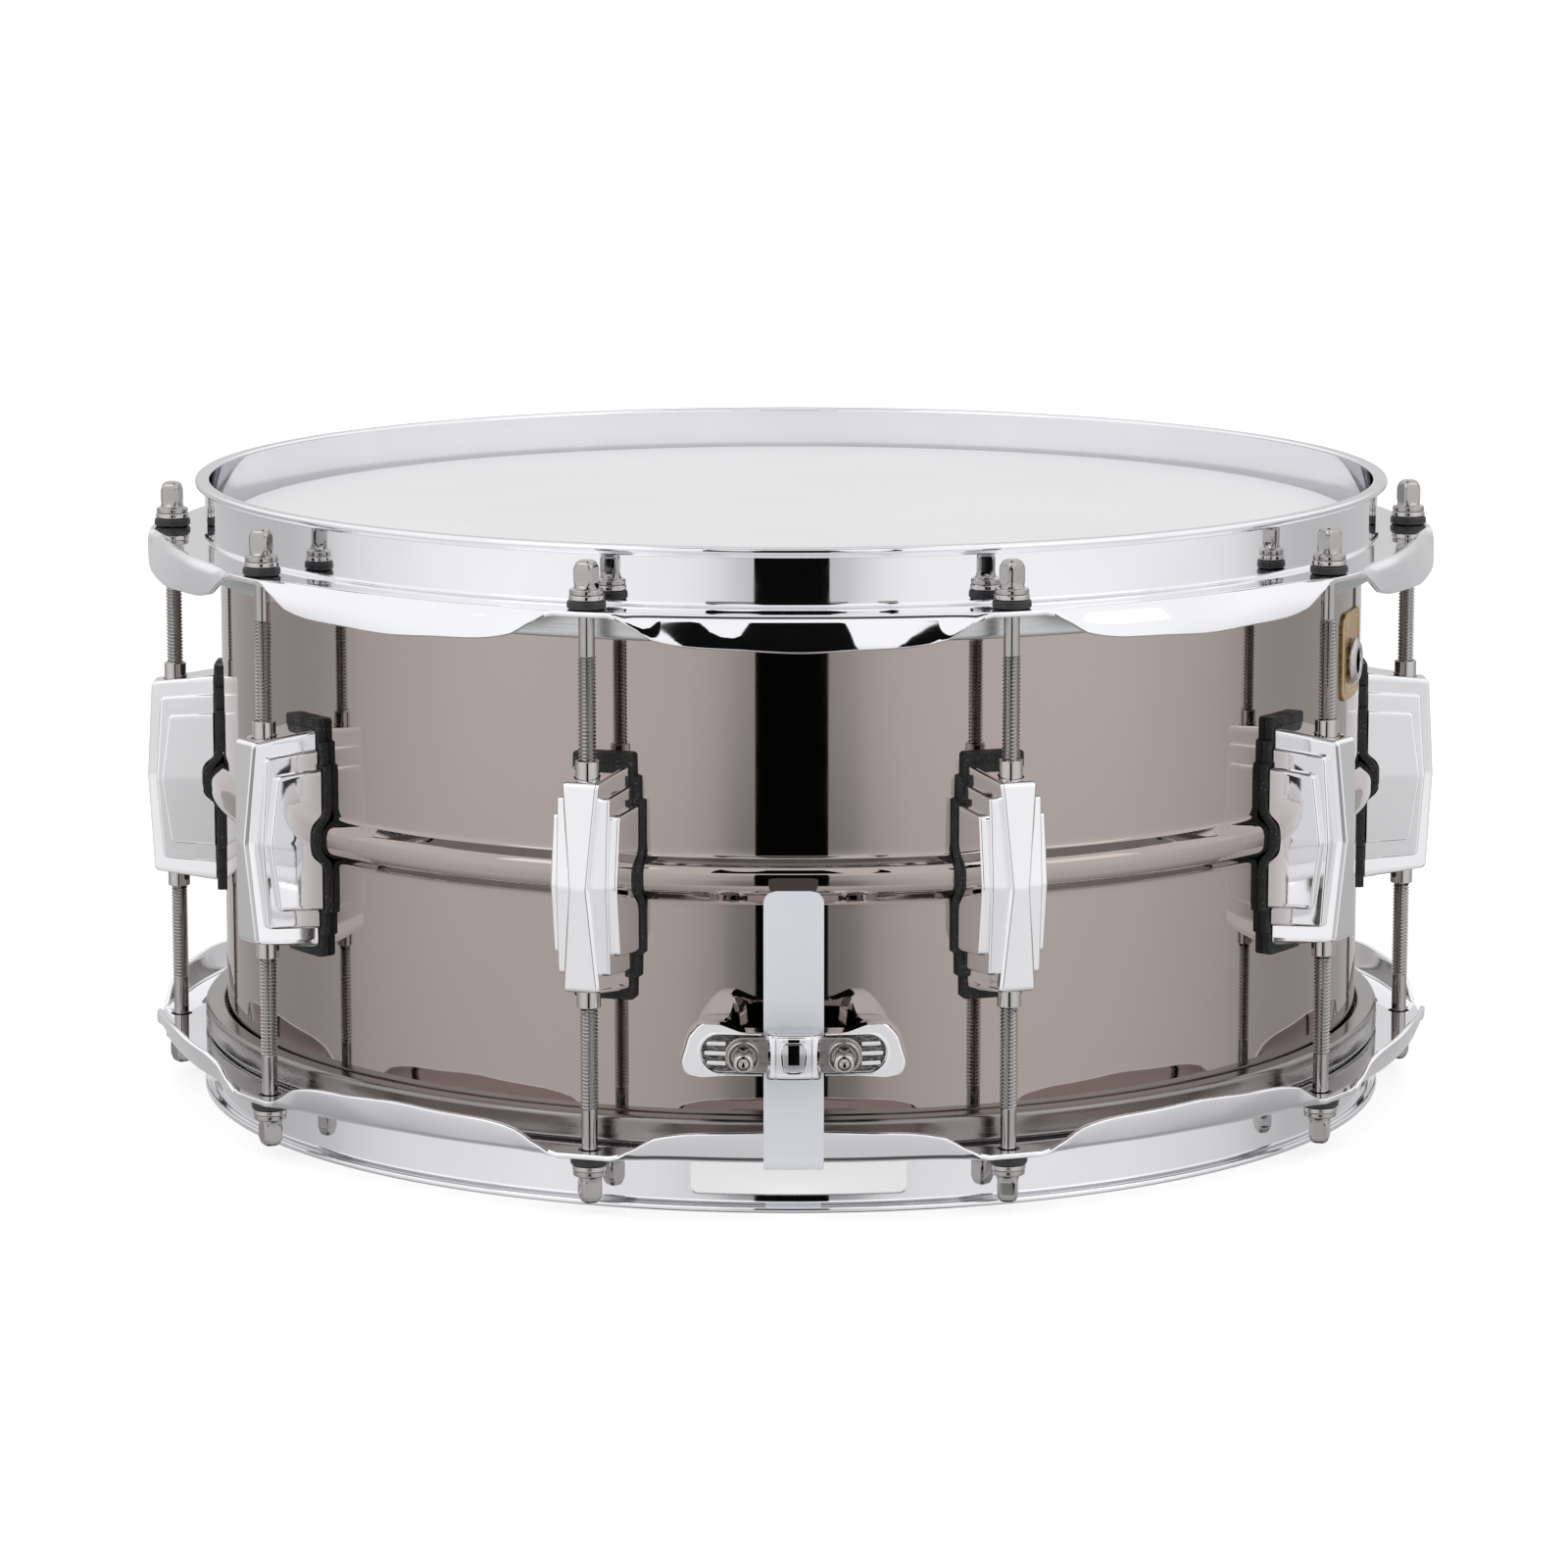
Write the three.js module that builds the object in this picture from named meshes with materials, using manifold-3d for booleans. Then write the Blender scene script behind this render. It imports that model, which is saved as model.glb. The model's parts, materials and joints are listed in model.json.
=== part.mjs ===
// A 14 x 6.5 inch metal snare drum with ten double-ended lugs, triple-flanged hoops, a butt
// plate, a throw-off strainer and snare wires. Millimetres, +Z up. The origin is on the drum's
// axis in the plane of the lower rim. The butt plate faces -Y and the strainer faces +Y.
import * as THREE from 'three';
import { mergeVertices } from 'three/addons/utils/BufferGeometryUtils.js';
import Module from 'manifold-3d';

const wasm = await Module();
wasm.setup();

// ---------------------------------------------------------------- driving dimensions
const HEIGHT = 191.5; // lower rim to upper rim
const MID = HEIGHT / 2;
const GAP = 0.3; // air left between pieces that touch on the real drum
const SIDES = 60; // facets round the drum, so that every lug sits on a facet edge

const SHELL_R = 177.8; // 14 inch outside diameter
const SHELL_WALL = 1.2;
const SHELL_HALF = 82.55; // half of 6.5 inches
const EDGE_R = 174.0; // crown of the turned-in bearing edge
const EDGE_RISE = 4.2; // height of the 45 degree edge
const BED_DEPTH = 1.8; // snare bed cut in the lower edge
const BED_ANGLE = 16; // half of each bed's width, degrees
const BEAD_RISE = 3.8; // how far the centre bead stands out
const BEAD_CROWN = 3.25; // half of the bead's flat crown
const BEAD_HALF = 7.35; // half of the bead's whole width

const ROD_COUNT = 10;
const ROD_CIRCLE = 193.2; // radius of the tension rods' circle
const ROD_R = 2.5;
const ROD_LENGTH = 63.5; // under the head
const ROD_HEAD = 5.9; // square key head
const HEAD_HEIGHT = 8.3;
const FLANGE_DROP = 12.9; // rim down to the underside of the rod's flange
const FLANGE_THICK = 1.6;
const WASHER_R = 5.6; // nylon washer, with the narrower steel washer and flange above it
const SECTOR = 360 / ROD_COUNT;

const HOOP_INNER = 180.6;
const HOOP_OUTER = 182.2;
const LIP_R = 185.2; // the lip rolled outwards at the rim
const LIP_THICK = 2.0;
const EAR_DROP = 17.1; // rim down to the ears' outer face
const HOOP_THICK = 1.6;
const EAR_R = 200.2;
const EAR_ANGLE = 2.3; // half of each ear's flat, degrees
const SKIRT_R = 199.8;
const SKIRT_DROP = 28.1; // rim down to the skirt's edge between ears
const GATE_HALF = 31; // snare gate, half width
const GATE_LOW = 4.6;
const GATE_HIGH = 15.2;

const FILM_THICK = 0.5;
const FILM_R = SHELL_R + 0.4; // inside of the head's collar
const FLESH_OUTER = 184.8;
const FLESH_LOW = 164.4;
const FLESH_HIGH = 172.3;

const LUG_HALF = 30.3;
const LUG_STEPS = [ // from the narrow front slab to the wide back one
  { halfWidth: 5.3, halfHeight: LUG_HALF, face: 200.0, bulge: 2.2, cut: 1.4 },
  { halfWidth: 7.7, halfHeight: 26.3, face: 198.2, bulge: 1.2, cut: 0.8 },
  { halfWidth: 10.4, halfHeight: 20.2, face: 195.0, bulge: 2.0, cut: 0.8 },
];
const COLLAR_R = 3.5; // swivel nut that shows at each end
const COLLAR_REACH = 5.2;
const BORE_R = 3.0;
const BORE_START = 16.5; // the bores' closed ends, from the lug's middle
const GASKET_THICK = 2.6;
const GASKET_STEPS = [[9.4, 35.6], [10.9, 29], [12.4, 22.2]]; // half width, half height

const VENT_ANGLE = 72.5;
const VENT_Z = 139.4;
const VENT_R = 4.0; // clear hole of the grommet
const VENT_FLANGE_R = 7.25;
const BADGE_LOW = 128;
const BADGE_HIGH = 155;
const BADGE_HALF = 12.2;

const BUTT_TURN = -0.5; // the butt plate sits a little to the left of centre, degrees
const STRAP_R = 200.6; // middle of the strap's thickness
const STRAP_THICK = 0.6;
const STRAP_HALF = 8.5;
const STRAP_TOP = 96.9;
const SEAT_R = 200.0; // face that a strap is clamped against
const CLAMP_LOW = 44.4;
const CLAMP_HIGH = 56.0;
const CLAMP_Z = (CLAMP_LOW + CLAMP_HIGH) / 2;
const CLAMP_BACK = 201.2;
const CLAMP_FRONT = 203.2;
const BLOCK_FRONT = 211.0;
const BLOCK_TOP = 57.7;
const SCREW_X = 14.1;
const SCREW_FRONT = 214.0;

const SNARE_END = 157; // outer end of each snare end plate, from the axis
const SNARE_PLATE = 14; // length of each end plate
const SNARE_LOW = 10.3;
const SNARE_HIGH = 12.1;
const STRANDS = 20;
const STRAND_PITCH = 2.05;

const PIVOT_R = 192; // lever pivot, from the axis
const PIVOT_Z = 74;
const CHEEK_IN = 15.2; // inner face of the strainer's side walls
const CHEEK_OUT = 19.0;
const LEVER_TOP = 124;

// ---------------------------------------------------------------- materials
const metal = (color, roughness) => new THREE.MeshStandardMaterial({ color, roughness, metalness: 1 });
const plain = (color, roughness) => new THREE.MeshStandardMaterial({ color, roughness, metalness: 0 });
const BLACK_NICKEL = metal(0x6f6765, 0.08);
const CHROME = metal(0xe6e6ea, 0.06);
const NICKEL = metal(0xb9b2ad, 0.18);
const ALUMINIUM = metal(0xc9cacc, 0.4);
const BRASS = metal(0xc9a04e, 0.3);
const STEEL = metal(0xbfc0c4, 0.25);
const RUBBER = plain(0x1b1b1d, 0.8);
const COATED_FILM = plain(0xf4f3f0, 0.7);
const CLEAR_FILM = plain(0xe8ecef, 0.2);
const STRAP_PLASTIC = plain(0xcfd3d8, 0.4);

// ---------------------------------------------------------------- geometry helpers
const radians = THREE.MathUtils.degToRad;

// Turns a closed geometry into a manifold solid: positions only, shared corners merged.
function solid(geometry) {
  const bare = geometry.clone();
  bare.deleteAttribute('normal');
  bare.deleteAttribute('uv');
  const merged = mergeVertices(bare, 1e-4);
  const corners = merged.index.array;
  const kept = [];
  for (let i = 0; i < corners.length; i += 3) {
    const [a, b, c] = [corners[i], corners[i + 1], corners[i + 2]];
    if (a !== b && b !== c && c !== a) kept.push(a, b, c);
  }
  const vertProperties = new Float32Array(merged.attributes.position.array);
  return new wasm.Manifold(new wasm.Mesh({ numProp: 3, vertProperties, triVerts: new Uint32Array(kept) }));
}

function geometryOf(manifold) {
  const { vertProperties, triVerts } = manifold.getMesh();
  const geometry = new THREE.BufferGeometry();
  geometry.setAttribute('position', new THREE.BufferAttribute(vertProperties, 3));
  geometry.setIndex(new THREE.BufferAttribute(triVerts, 1));
  geometry.computeVertexNormals();
  return geometry;
}

// A solid of revolution about Z from a (radius, height) profile that runs outwards, then up.
function turned(profile, sides = SIDES) {
  const points = profile.map(([r, z]) => new THREE.Vector2(r, z));
  return new THREE.LatheGeometry(points, sides).rotateX(Math.PI / 2);
}

// A turned ring: the profile is closed on itself.
const turnedRing = (profile, sides = SIDES) => turned([...profile, profile[0]], sides);

// A ring about Z whose section may change with the angle. Sections run anticlockwise in
// (radius, height), and all have the same number of points.
function sweptRing(angles, sectionAt) {
  const count = sectionAt(angles[0]).length;
  const positions = angles.flatMap((angle) => {
    const [s, c] = [Math.sin(radians(angle)), Math.cos(radians(angle))];
    return sectionAt(angle).flatMap(([r, z]) => [r * s, -r * c, z]);
  });
  const index = [];
  for (let i = 0; i < angles.length; i += 1) {
    const next = (i + 1) % angles.length;
    for (let j = 0; j < count; j += 1) {
      const up = (j + 1) % count;
      const [a, b, c, d] = [i * count + j, next * count + j, next * count + up, i * count + up];
      index.push(a, b, c, a, c, d);
    }
  }
  const geometry = new THREE.BufferGeometry();
  geometry.setAttribute('position', new THREE.Float32BufferAttribute(positions, 3));
  geometry.setIndex(index);
  return geometry;
}

const shapeOf = (points) => new THREE.Shape(points.map(([x, y]) => new THREE.Vector2(x, y)));

// An outline seen from the front, in (x, z), from radius `near` out to radius `far` at -Y.
function frontPlate(shape, near, far) {
  const options = { depth: far - near, bevelEnabled: false, curveSegments: 4 };
  return new THREE.ExtrudeGeometry(shape, options).rotateX(Math.PI / 2).translate(0, -near, 0);
}

// An outline seen from the side, in (radius, z), across x from -half to half.
function sidePlate(points, half) {
  const options = { depth: 2 * half, bevelEnabled: false };
  const toSide = new THREE.Matrix4().makeBasis(
    new THREE.Vector3(0, -1, 0),
    new THREE.Vector3(0, 0, 1),
    new THREE.Vector3(-1, 0, 0),
  );
  return new THREE.ExtrudeGeometry(shapeOf(points), options).translate(0, 0, -half).applyMatrix4(toSide);
}

// An outline seen from above, in (x, radius), from height `low` to height `high`.
function planPlate(points, low, high) {
  const shape = shapeOf(points.map(([x, r]) => [x, -r]));
  return new THREE.ExtrudeGeometry(shape, { depth: high - low, bevelEnabled: false }).translate(0, 0, low);
}

// A block between two corners given as (x, radius, z).
function block([x0, r0, z0], [x1, r1, z1]) {
  const box = new THREE.BoxGeometry(x1 - x0, r1 - r0, z1 - z0);
  return box.translate((x0 + x1) / 2, -(r0 + r1) / 2, (z0 + z1) / 2);
}

// An upright cylinder at a radius on the front side.
function post(r, low, high, radius = ROD_CIRCLE, sides = 8) {
  const cylinder = new THREE.CylinderGeometry(r, r, high - low, sides).rotateX(Math.PI / 2);
  return cylinder.translate(0, -radius, (low + high) / 2);
}

// A cylinder that points outwards at the front side.
function stud(r, near, far, x, z, sides = 12) {
  const cylinder = new THREE.CylinderGeometry(r, r, far - near, sides);
  return cylinder.translate(x, -(near + far) / 2, z);
}

const mirrorX = (points) => [...points, ...points.slice().reverse().map(([x, y]) => [-x, y])];

// A rounded rectangle centred on x = 0.
function roundedShape(half, low, high, corner) {
  const shape = new THREE.Shape();
  shape.absarc(half - corner, low + corner, corner, -Math.PI / 2, 0);
  shape.absarc(half - corner, high - corner, corner, 0, Math.PI / 2);
  shape.absarc(corner - half, high - corner, corner, Math.PI / 2, Math.PI);
  shape.absarc(corner - half, low + corner, corner, Math.PI, 1.5 * Math.PI);
  return shape;
}

const joined = (...geometries) => geometries.map(solid).reduce((all, one) => all.add(one));

// Everything inside the shell's outer face, grown by a clearance, bead included.
function shellCore(clearance, sides = SIDES) {
  const [wall, bead] = [SHELL_R + clearance, SHELL_R + BEAD_RISE + clearance];
  const [foot, crown] = [BEAD_HALF + clearance, BEAD_CROWN + clearance];
  return solid(turned([
    [0, 0], [wall, 0], [wall, MID - foot], [bead, MID - crown],
    [bead, MID + crown], [wall, MID + foot], [wall, HEIGHT], [0, HEIGHT],
  ], sides));
}

const drum = new THREE.Group();

function add(name, geometry, material, { angle = 0, r = 0 } = {}) {
  const mesh = new THREE.Mesh(geometry, material);
  mesh.name = name;
  mesh.rotation.z = radians(angle);
  mesh.position.set(r * Math.sin(radians(angle)), -r * Math.cos(radians(angle)), 0);
  drum.add(mesh);
}

// The same geometry for the other side of the drum, turned over about the X axis.
const turnedOver = (geometry) => geometry.clone().rotateX(Math.PI).translate(0, 0, HEIGHT);

// ---------------------------------------------------------------- shell
// Depth of the snare beds: two shallow dips in the lower edge, at the butt and the strainer.
function bedDepth(angle) {
  const fromBed = Math.abs(((angle + 90) % 180) - 90);
  return fromBed >= BED_ANGLE ? 0 : BED_DEPTH * Math.cos(radians((90 * fromBed) / BED_ANGLE)) ** 2;
}

function shellSection(angle) {
  const [top, low] = [MID + SHELL_HALF, MID - SHELL_HALF + bedDepth(angle)];
  const inner = SHELL_R - SHELL_WALL;
  const lipDrop = EDGE_RISE + 0.7;
  return [
    [EDGE_R, low], [SHELL_R, low + EDGE_RISE],
    [SHELL_R, MID - BEAD_HALF], [SHELL_R + BEAD_RISE, MID - BEAD_CROWN],
    [SHELL_R + BEAD_RISE, MID + BEAD_CROWN], [SHELL_R, MID + BEAD_HALF],
    [SHELL_R, top - EDGE_RISE], [EDGE_R, top], [EDGE_R - 0.9, top - 0.9], [inner, top - lipDrop],
    [inner, MID + BEAD_HALF - 0.5], [inner + BEAD_RISE, MID], [inner, MID - BEAD_HALF + 0.5],
    [inner, low + lipDrop], [EDGE_R - 0.9, low + 0.9],
  ];
}

function makeShell() {
  const angles = Array.from({ length: SIDES }, (_, i) => (i * 360) / SIDES);
  const vent = stud(VENT_R + 0.8, SHELL_R - 10, SHELL_R + 10, 0, VENT_Z).rotateZ(radians(VENT_ANGLE));
  add('shell', geometryOf(solid(sweptRing(angles, shellSection)).subtract(solid(vent))), BLACK_NICKEL);
}

// ---------------------------------------------------------------- hoops
// How much of the skirt's full drop there is at an angle from the nearest rod.
function skirtShare(fromRod) {
  const steps = [[EAR_ANGLE, 0], [4.9, 0.45], [9.4, 0.87], [SECTOR / 2, 1]];
  const after = Math.max(1, steps.findIndex(([angle]) => angle >= fromRod));
  const [[a0, s0], [a1, s1]] = [steps[after - 1], steps[after]];
  return THREE.MathUtils.clamp(s0 + ((s1 - s0) * (fromRod - a0)) / (a1 - a0), 0, 1);
}

// Section of the batter hoop: wall, rolled lip, and a flange that is a flat ear at each rod and
// turns down into a skirt between rods.
function hoopSection(angle) {
  const fromRod = Math.abs((angle % SECTOR) - SECTOR / 2);
  const share = skirtShare(fromRod);
  const mix = (ear, skirt) => ear.map((value, i) => value + (skirt[i] - value) * share);
  const under = EAR_DROP + HOOP_THICK;
  const drops = [
    [HOOP_INNER, under],
    mix([EAR_R - 2, under], [SKIRT_R - 2.6, under + 1.5]),
    mix([EAR_R, under], [SKIRT_R - HOOP_THICK, SKIRT_DROP]),
    mix([EAR_R, under - 0.8], [SKIRT_R, SKIRT_DROP]),
    mix([EAR_R, EAR_DROP], [SKIRT_R - 0.9, EAR_DROP + 3]),
    mix([EAR_R - 4.5, EAR_DROP], [SKIRT_R - 3.4, EAR_DROP + 0.2]),
    [HOOP_OUTER, EAR_DROP], [HOOP_OUTER, LIP_THICK + 0.8], [LIP_R, LIP_THICK], [LIP_R, 0], [HOOP_INNER, 0],
  ];
  return drops.map(([r, drop]) => [r, HEIGHT - drop]);
}

function makeHoops() {
  const offsets = [-9.4, -4.9, -EAR_ANGLE, EAR_ANGLE, 4.9, 9.4, SECTOR / 2];
  const angles = Array.from({ length: ROD_COUNT }, (_, i) => offsets.map((o) => SECTOR * (i + 0.5) + o)).flat();
  let hoop = solid(sweptRing(angles, hoopSection));
  for (let i = 0; i < ROD_COUNT; i += 1) {
    const hole = post(ROD_R + 0.9, HEIGHT - 22, HEIGHT - 14).rotateZ(radians(SECTOR * (i + 0.5)));
    hoop = hoop.subtract(solid(hole));
  }
  const batter = geometryOf(hoop);
  add('batter_hoop', batter, CHROME);
  const gates = solid(block([-GATE_HALF, -190, GATE_LOW], [GATE_HALF, 190, GATE_HIGH]));
  add('resonant_hoop', geometryOf(solid(turnedOver(batter)).subtract(gates)), CHROME);
}

// ---------------------------------------------------------------- heads
// Each head is a film that turns down over the bearing edge into its flesh hoop.
function makeHeads() {
  const top = MID + SHELL_HALF + GAP;
  const outer = FILM_R + FILM_THICK;
  const collar = top - EDGE_RISE;
  const film = turned([
    [0, top], [EDGE_R + 0.2, top], [FILM_R, collar], [FILM_R, FLESH_HIGH + GAP],
    [outer, FLESH_HIGH + GAP], [outer, collar + 0.3], [EDGE_R + 0.5, top + FILM_THICK], [0, top + FILM_THICK],
  ]);
  const flesh = turnedRing([
    [FILM_R, FLESH_LOW], [FLESH_OUTER, FLESH_LOW], [FLESH_OUTER, FLESH_HIGH], [FILM_R, FLESH_HIGH],
  ]);
  add('batter_head_film', film, COATED_FILM);
  add('batter_flesh_hoop', flesh, ALUMINIUM);
  add('resonant_head_film', turnedOver(film), CLEAR_FILM);
  add('resonant_flesh_hoop', turnedOver(flesh), ALUMINIUM);
}

// ---------------------------------------------------------------- lugs, gaskets and rods
// The lug is three nested slabs, each wider and shorter than the one in front, which give its
// stepped sides. A swivel nut's collar stands out of each end.
function lugGeometry() {
  const back = SHELL_R - 3;
  const slab = ({ halfWidth, halfHeight, face, bulge, cut }) => sidePlate([
    [back, MID - halfHeight], [face - cut, MID - halfHeight], [face, MID - halfHeight + cut],
    [face + bulge, MID], [face, MID + halfHeight - cut], [face - cut, MID + halfHeight],
    [back, MID + halfHeight],
  ], halfWidth);
  let lug = joined(...LUG_STEPS.map(slab));
  for (const side of [-1, 1]) {
    const ends = [LUG_HALF - 1, LUG_HALF + COLLAR_REACH].map((d) => MID + side * d).sort((a, b) => a - b);
    lug = lug.add(solid(post(COLLAR_R, ...ends)));
  }
  for (const side of [-1, 1]) {
    const ends = [BORE_START, LUG_HALF + COLLAR_REACH + 2].map((d) => MID + side * d).sort((a, b) => a - b);
    lug = lug.subtract(solid(post(BORE_R, ...ends)));
  }
  return geometryOf(lug.subtract(shellCore(GAP + GASKET_THICK + GAP)));
}

// The rubber gasket follows the shell and its bead, with an outline stepped like the lug's.
function gasketGeometry() {
  const [[narrow, tall], [middle, lower], [wide, short]] = GASKET_STEPS;
  const upper = [[wide, short], [middle, short], [middle, lower], [narrow, lower], [narrow, tall]];
  const corners = [...upper.slice().reverse().map(([x, rise]) => [x, -rise]), ...upper];
  const outline = mirrorX(corners.map(([x, rise]) => [x, MID + rise]));
  const plate = solid(frontPlate(shapeOf(outline), SHELL_R - 6, SHELL_R + 12));
  return geometryOf(plate.intersect(shellCore(GAP + GASKET_THICK)).subtract(shellCore(GAP)));
}

// A tension rod with its square key head, its flange and the washers under it.
function rodGeometry() {
  const seat = HEIGHT - EAR_DROP + GAP;
  const flange = HEIGHT - FLANGE_DROP;
  const shoulder = flange + FLANGE_THICK;
  const shank = turned([
    [0, flange - ROD_LENGTH], [ROD_R, flange - ROD_LENGTH], [ROD_R, seat], [WASHER_R, seat],
    [WASHER_R - 0.5, flange], [WASHER_R - 0.7, shoulder], [0, shoulder],
  ], 8);
  const sunk = 1; // how far the head's solid reaches into the flange
  const head = new THREE.BoxGeometry(ROD_HEAD, ROD_HEAD, HEAD_HEIGHT + sunk);
  head.translate(0, 0, shoulder + (HEAD_HEIGHT - sunk) / 2);
  return geometryOf(joined(shank, head));
}

function makeLugsAndRods() {
  const lug = lugGeometry();
  const gasket = gasketGeometry();
  const rod = rodGeometry();
  const lowerRod = turnedOver(rod);
  for (let i = 0; i < ROD_COUNT; i += 1) {
    const number = String(i + 1).padStart(2, '0');
    const angle = SECTOR * (i + 0.5);
    add(`lug_${number}`, lug, CHROME, { angle });
    add(`lug_gasket_${number}`, gasket, RUBBER, { angle });
    add(`tension_rod_top_${number}`, rod, NICKEL, { angle, r: ROD_CIRCLE });
    add(`tension_rod_bottom_${number}`, lowerRod, NICKEL, { angle, r: ROD_CIRCLE });
  }
}

// ---------------------------------------------------------------- badge and vent
function makeBadge() {
  const face = frontPlate(roundedShape(BADGE_HALF, BADGE_LOW, BADGE_HIGH, 4), SHELL_R - 6, SHELL_R + 6);
  const hole = stud(VENT_R + 1.2, SHELL_R - 10, SHELL_R + 10, 0, VENT_Z);
  const plate = solid(face).subtract(solid(hole)).rotate([0, 0, VENT_ANGLE]);
  const skin = plate.intersect(shellCore(GAP + 0.8)).subtract(shellCore(GAP));
  add('badge', geometryOf(skin), BRASS);

  const neck = VENT_R + 0.5;
  const grommet = turnedRing([
    [VENT_R, -4.5], [neck, -4.5], [neck, 1.5], [VENT_FLANGE_R, 1.5], [VENT_FLANGE_R - 1, 2.6],
    [VENT_R + 0.6, 3.2], [VENT_R, 2.6],
  ], 16);
  const placed = grommet.rotateX(Math.PI / 2).translate(0, -SHELL_R, VENT_Z);
  add('vent_grommet', placed, NICKEL, { angle: VENT_ANGLE });
}

// ---------------------------------------------------------------- straps and clamps
// A strap seen from the side: down the front, round the lower hoop and in through the gate.
function strapGeometry(top) {
  const route = [
    [STRAP_R, top], [STRAP_R, 22], [200.3, 19.6], [199.3, 17.6], [197.4, 16.4], [194.5, 15.7],
    [182, 13], [175.5, 11.5], [170, 11.2], [SNARE_END + 0.4, 11.2],
  ].map(([r, z]) => new THREE.Vector2(r, z));
  const offset = route.map((_, i) => {
    const before = route[Math.max(i - 1, 0)];
    const after = route[Math.min(i + 1, route.length - 1)];
    const along = after.clone().sub(before).normalize();
    return new THREE.Vector2(-along.y, along.x).multiplyScalar(STRAP_THICK / 2);
  });
  const outer = route.map((point, i) => point.clone().add(offset[i]));
  const inner = route.map((point, i) => point.clone().sub(offset[i])).reverse();
  return sidePlate([...outer, ...inner].map(({ x, y }) => [x, y]), STRAP_HALF);
}

// A clamp bar with its raised middle block and the key heads of its two screws.
function clampGeometry(half) {
  const bar = frontPlate(roundedShape(half, CLAMP_LOW, CLAMP_HIGH, 5.7), CLAMP_BACK, CLAMP_FRONT);
  const capPlan = mirrorX([[7.8, CLAMP_BACK], [7.8, BLOCK_FRONT - 1.6], [5, BLOCK_FRONT]]);
  const cap = planPlate(capPlan, CLAMP_LOW, BLOCK_TOP);
  const parts = [bar, cap];
  for (const x of [-SCREW_X, SCREW_X]) {
    parts.push(stud(4.5, CLAMP_FRONT - 0.5, CLAMP_FRONT + 2.3, x, CLAMP_Z));
    parts.push(block([x - 3, CLAMP_FRONT, CLAMP_Z - 3], [x + 3, SCREW_FRONT, CLAMP_Z + 3]));
  }
  return geometryOf(joined(...parts));
}

// The butt casting: two arms that stand on the shell, a bar across them and rounded wings.
function buttGeometry() {
  const front = mirrorX([
    [0, 44.2], [20, 44.2], [26.7, 43.4], [30.3, 44.2], [31.6, 46.6], [31, 50.5], [28.6, 56.6],
    [26, 58.8], [19, 58.8], [12, 56.4], [0, 56.4],
  ]);
  const plan = mirrorX([
    [0, SEAT_R], [26.4, SEAT_R], [26.4, 202.6], [29.6, 202.2], [31.6, 198], [31.6, 190],
    [29.5, 176], [20.5, 176], [19, 190], [16, 193], [0, 193],
  ]);
  const body = solid(frontPlate(shapeOf(front), 170, 206)).intersect(solid(planPlate(plan, 40, 62)));
  return geometryOf(body.subtract(shellCore(0.5)));
}

function makeButt() {
  add('butt_plate', buttGeometry(), CHROME, { angle: BUTT_TURN });
  add('butt_clamp', clampGeometry(26), CHROME, { angle: BUTT_TURN });
  add('butt_strap', strapGeometry(STRAP_TOP), STRAP_PLASTIC, { angle: BUTT_TURN });
}

// ---------------------------------------------------------------- snare wires
function makeSnareWires() {
  const half = (STRANDS * STRAND_PITCH) / 2 + 1.5;
  const inner = SNARE_END - SNARE_PLATE;
  const parts = [-1, 1].map((side) => {
    const [near, far] = side > 0 ? [inner, SNARE_END] : [-SNARE_END, -inner];
    return block([-half, near, SNARE_LOW], [half, far, SNARE_HIGH]);
  });
  for (let i = 0; i < STRANDS; i += 1) {
    const x = (i - (STRANDS - 1) / 2) * STRAND_PITCH;
    parts.push(block([x - 0.7, -inner - 1, SNARE_LOW + 0.2], [x + 0.7, inner + 1, SNARE_HIGH - 0.2]));
  }
  add('snare_wires', geometryOf(joined(...parts)), STEEL);
}

// ---------------------------------------------------------------- strainer
// Everything here is drawn at the front and turned half a turn to the back of the drum.
function strainerBody() {
  const base = frontPlate(roundedShape(CHEEK_OUT, 40, 92, 4), 172, 183.5);
  const cheek = sidePlate([[182, 44], [192, 44], [196, 50], [196, 80], [192, 86], [182, 86]], CHEEK_OUT);
  const channel = block([-CHEEK_IN, 183.5, 36], [CHEEK_IN, 200, 96]);
  const holes = block([-CHEEK_OUT - 2, PIVOT_R - 3, PIVOT_Z - 3], [CHEEK_OUT + 2, PIVOT_R + 3, PIVOT_Z + 3]);
  const solidBody = joined(base, cheek).subtract(solid(channel)).subtract(solid(holes));
  return geometryOf(solidBody.subtract(shellCore(0.5)));
}

// The carriage slides in the channel, and its top lug carries the tension knob.
function strainerCarriage() {
  const half = CHEEK_IN - 0.4;
  const plate = block([-half, 183.9, 46], [half, 187.4, 83]);
  const lug = block([-8, 187, 78], [8, 196, 83]);
  return geometryOf(joined(plate, lug).subtract(solid(post(2.9, 76, 85, PIVOT_R))));
}

// The tension block hangs on the knob's screw, and its wide front is the seat for the strap.
function strainerBlock() {
  const half = CHEEK_IN - 0.5;
  const plan = mirrorX([[half, 187.8], [half, 196.4], [22, 196.4], [22, SEAT_R]]);
  return geometryOf(solid(planPlate(plan, CLAMP_LOW - 0.4, 62)).subtract(solid(post(2.9, 48, 64, PIVOT_R))));
}

function strainerKnob() {
  const knob = post(8, 83.4, 95, PIVOT_R, 12);
  return geometryOf(joined(knob, post(2.3, 50.5, 85, PIVOT_R)));
}

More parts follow.
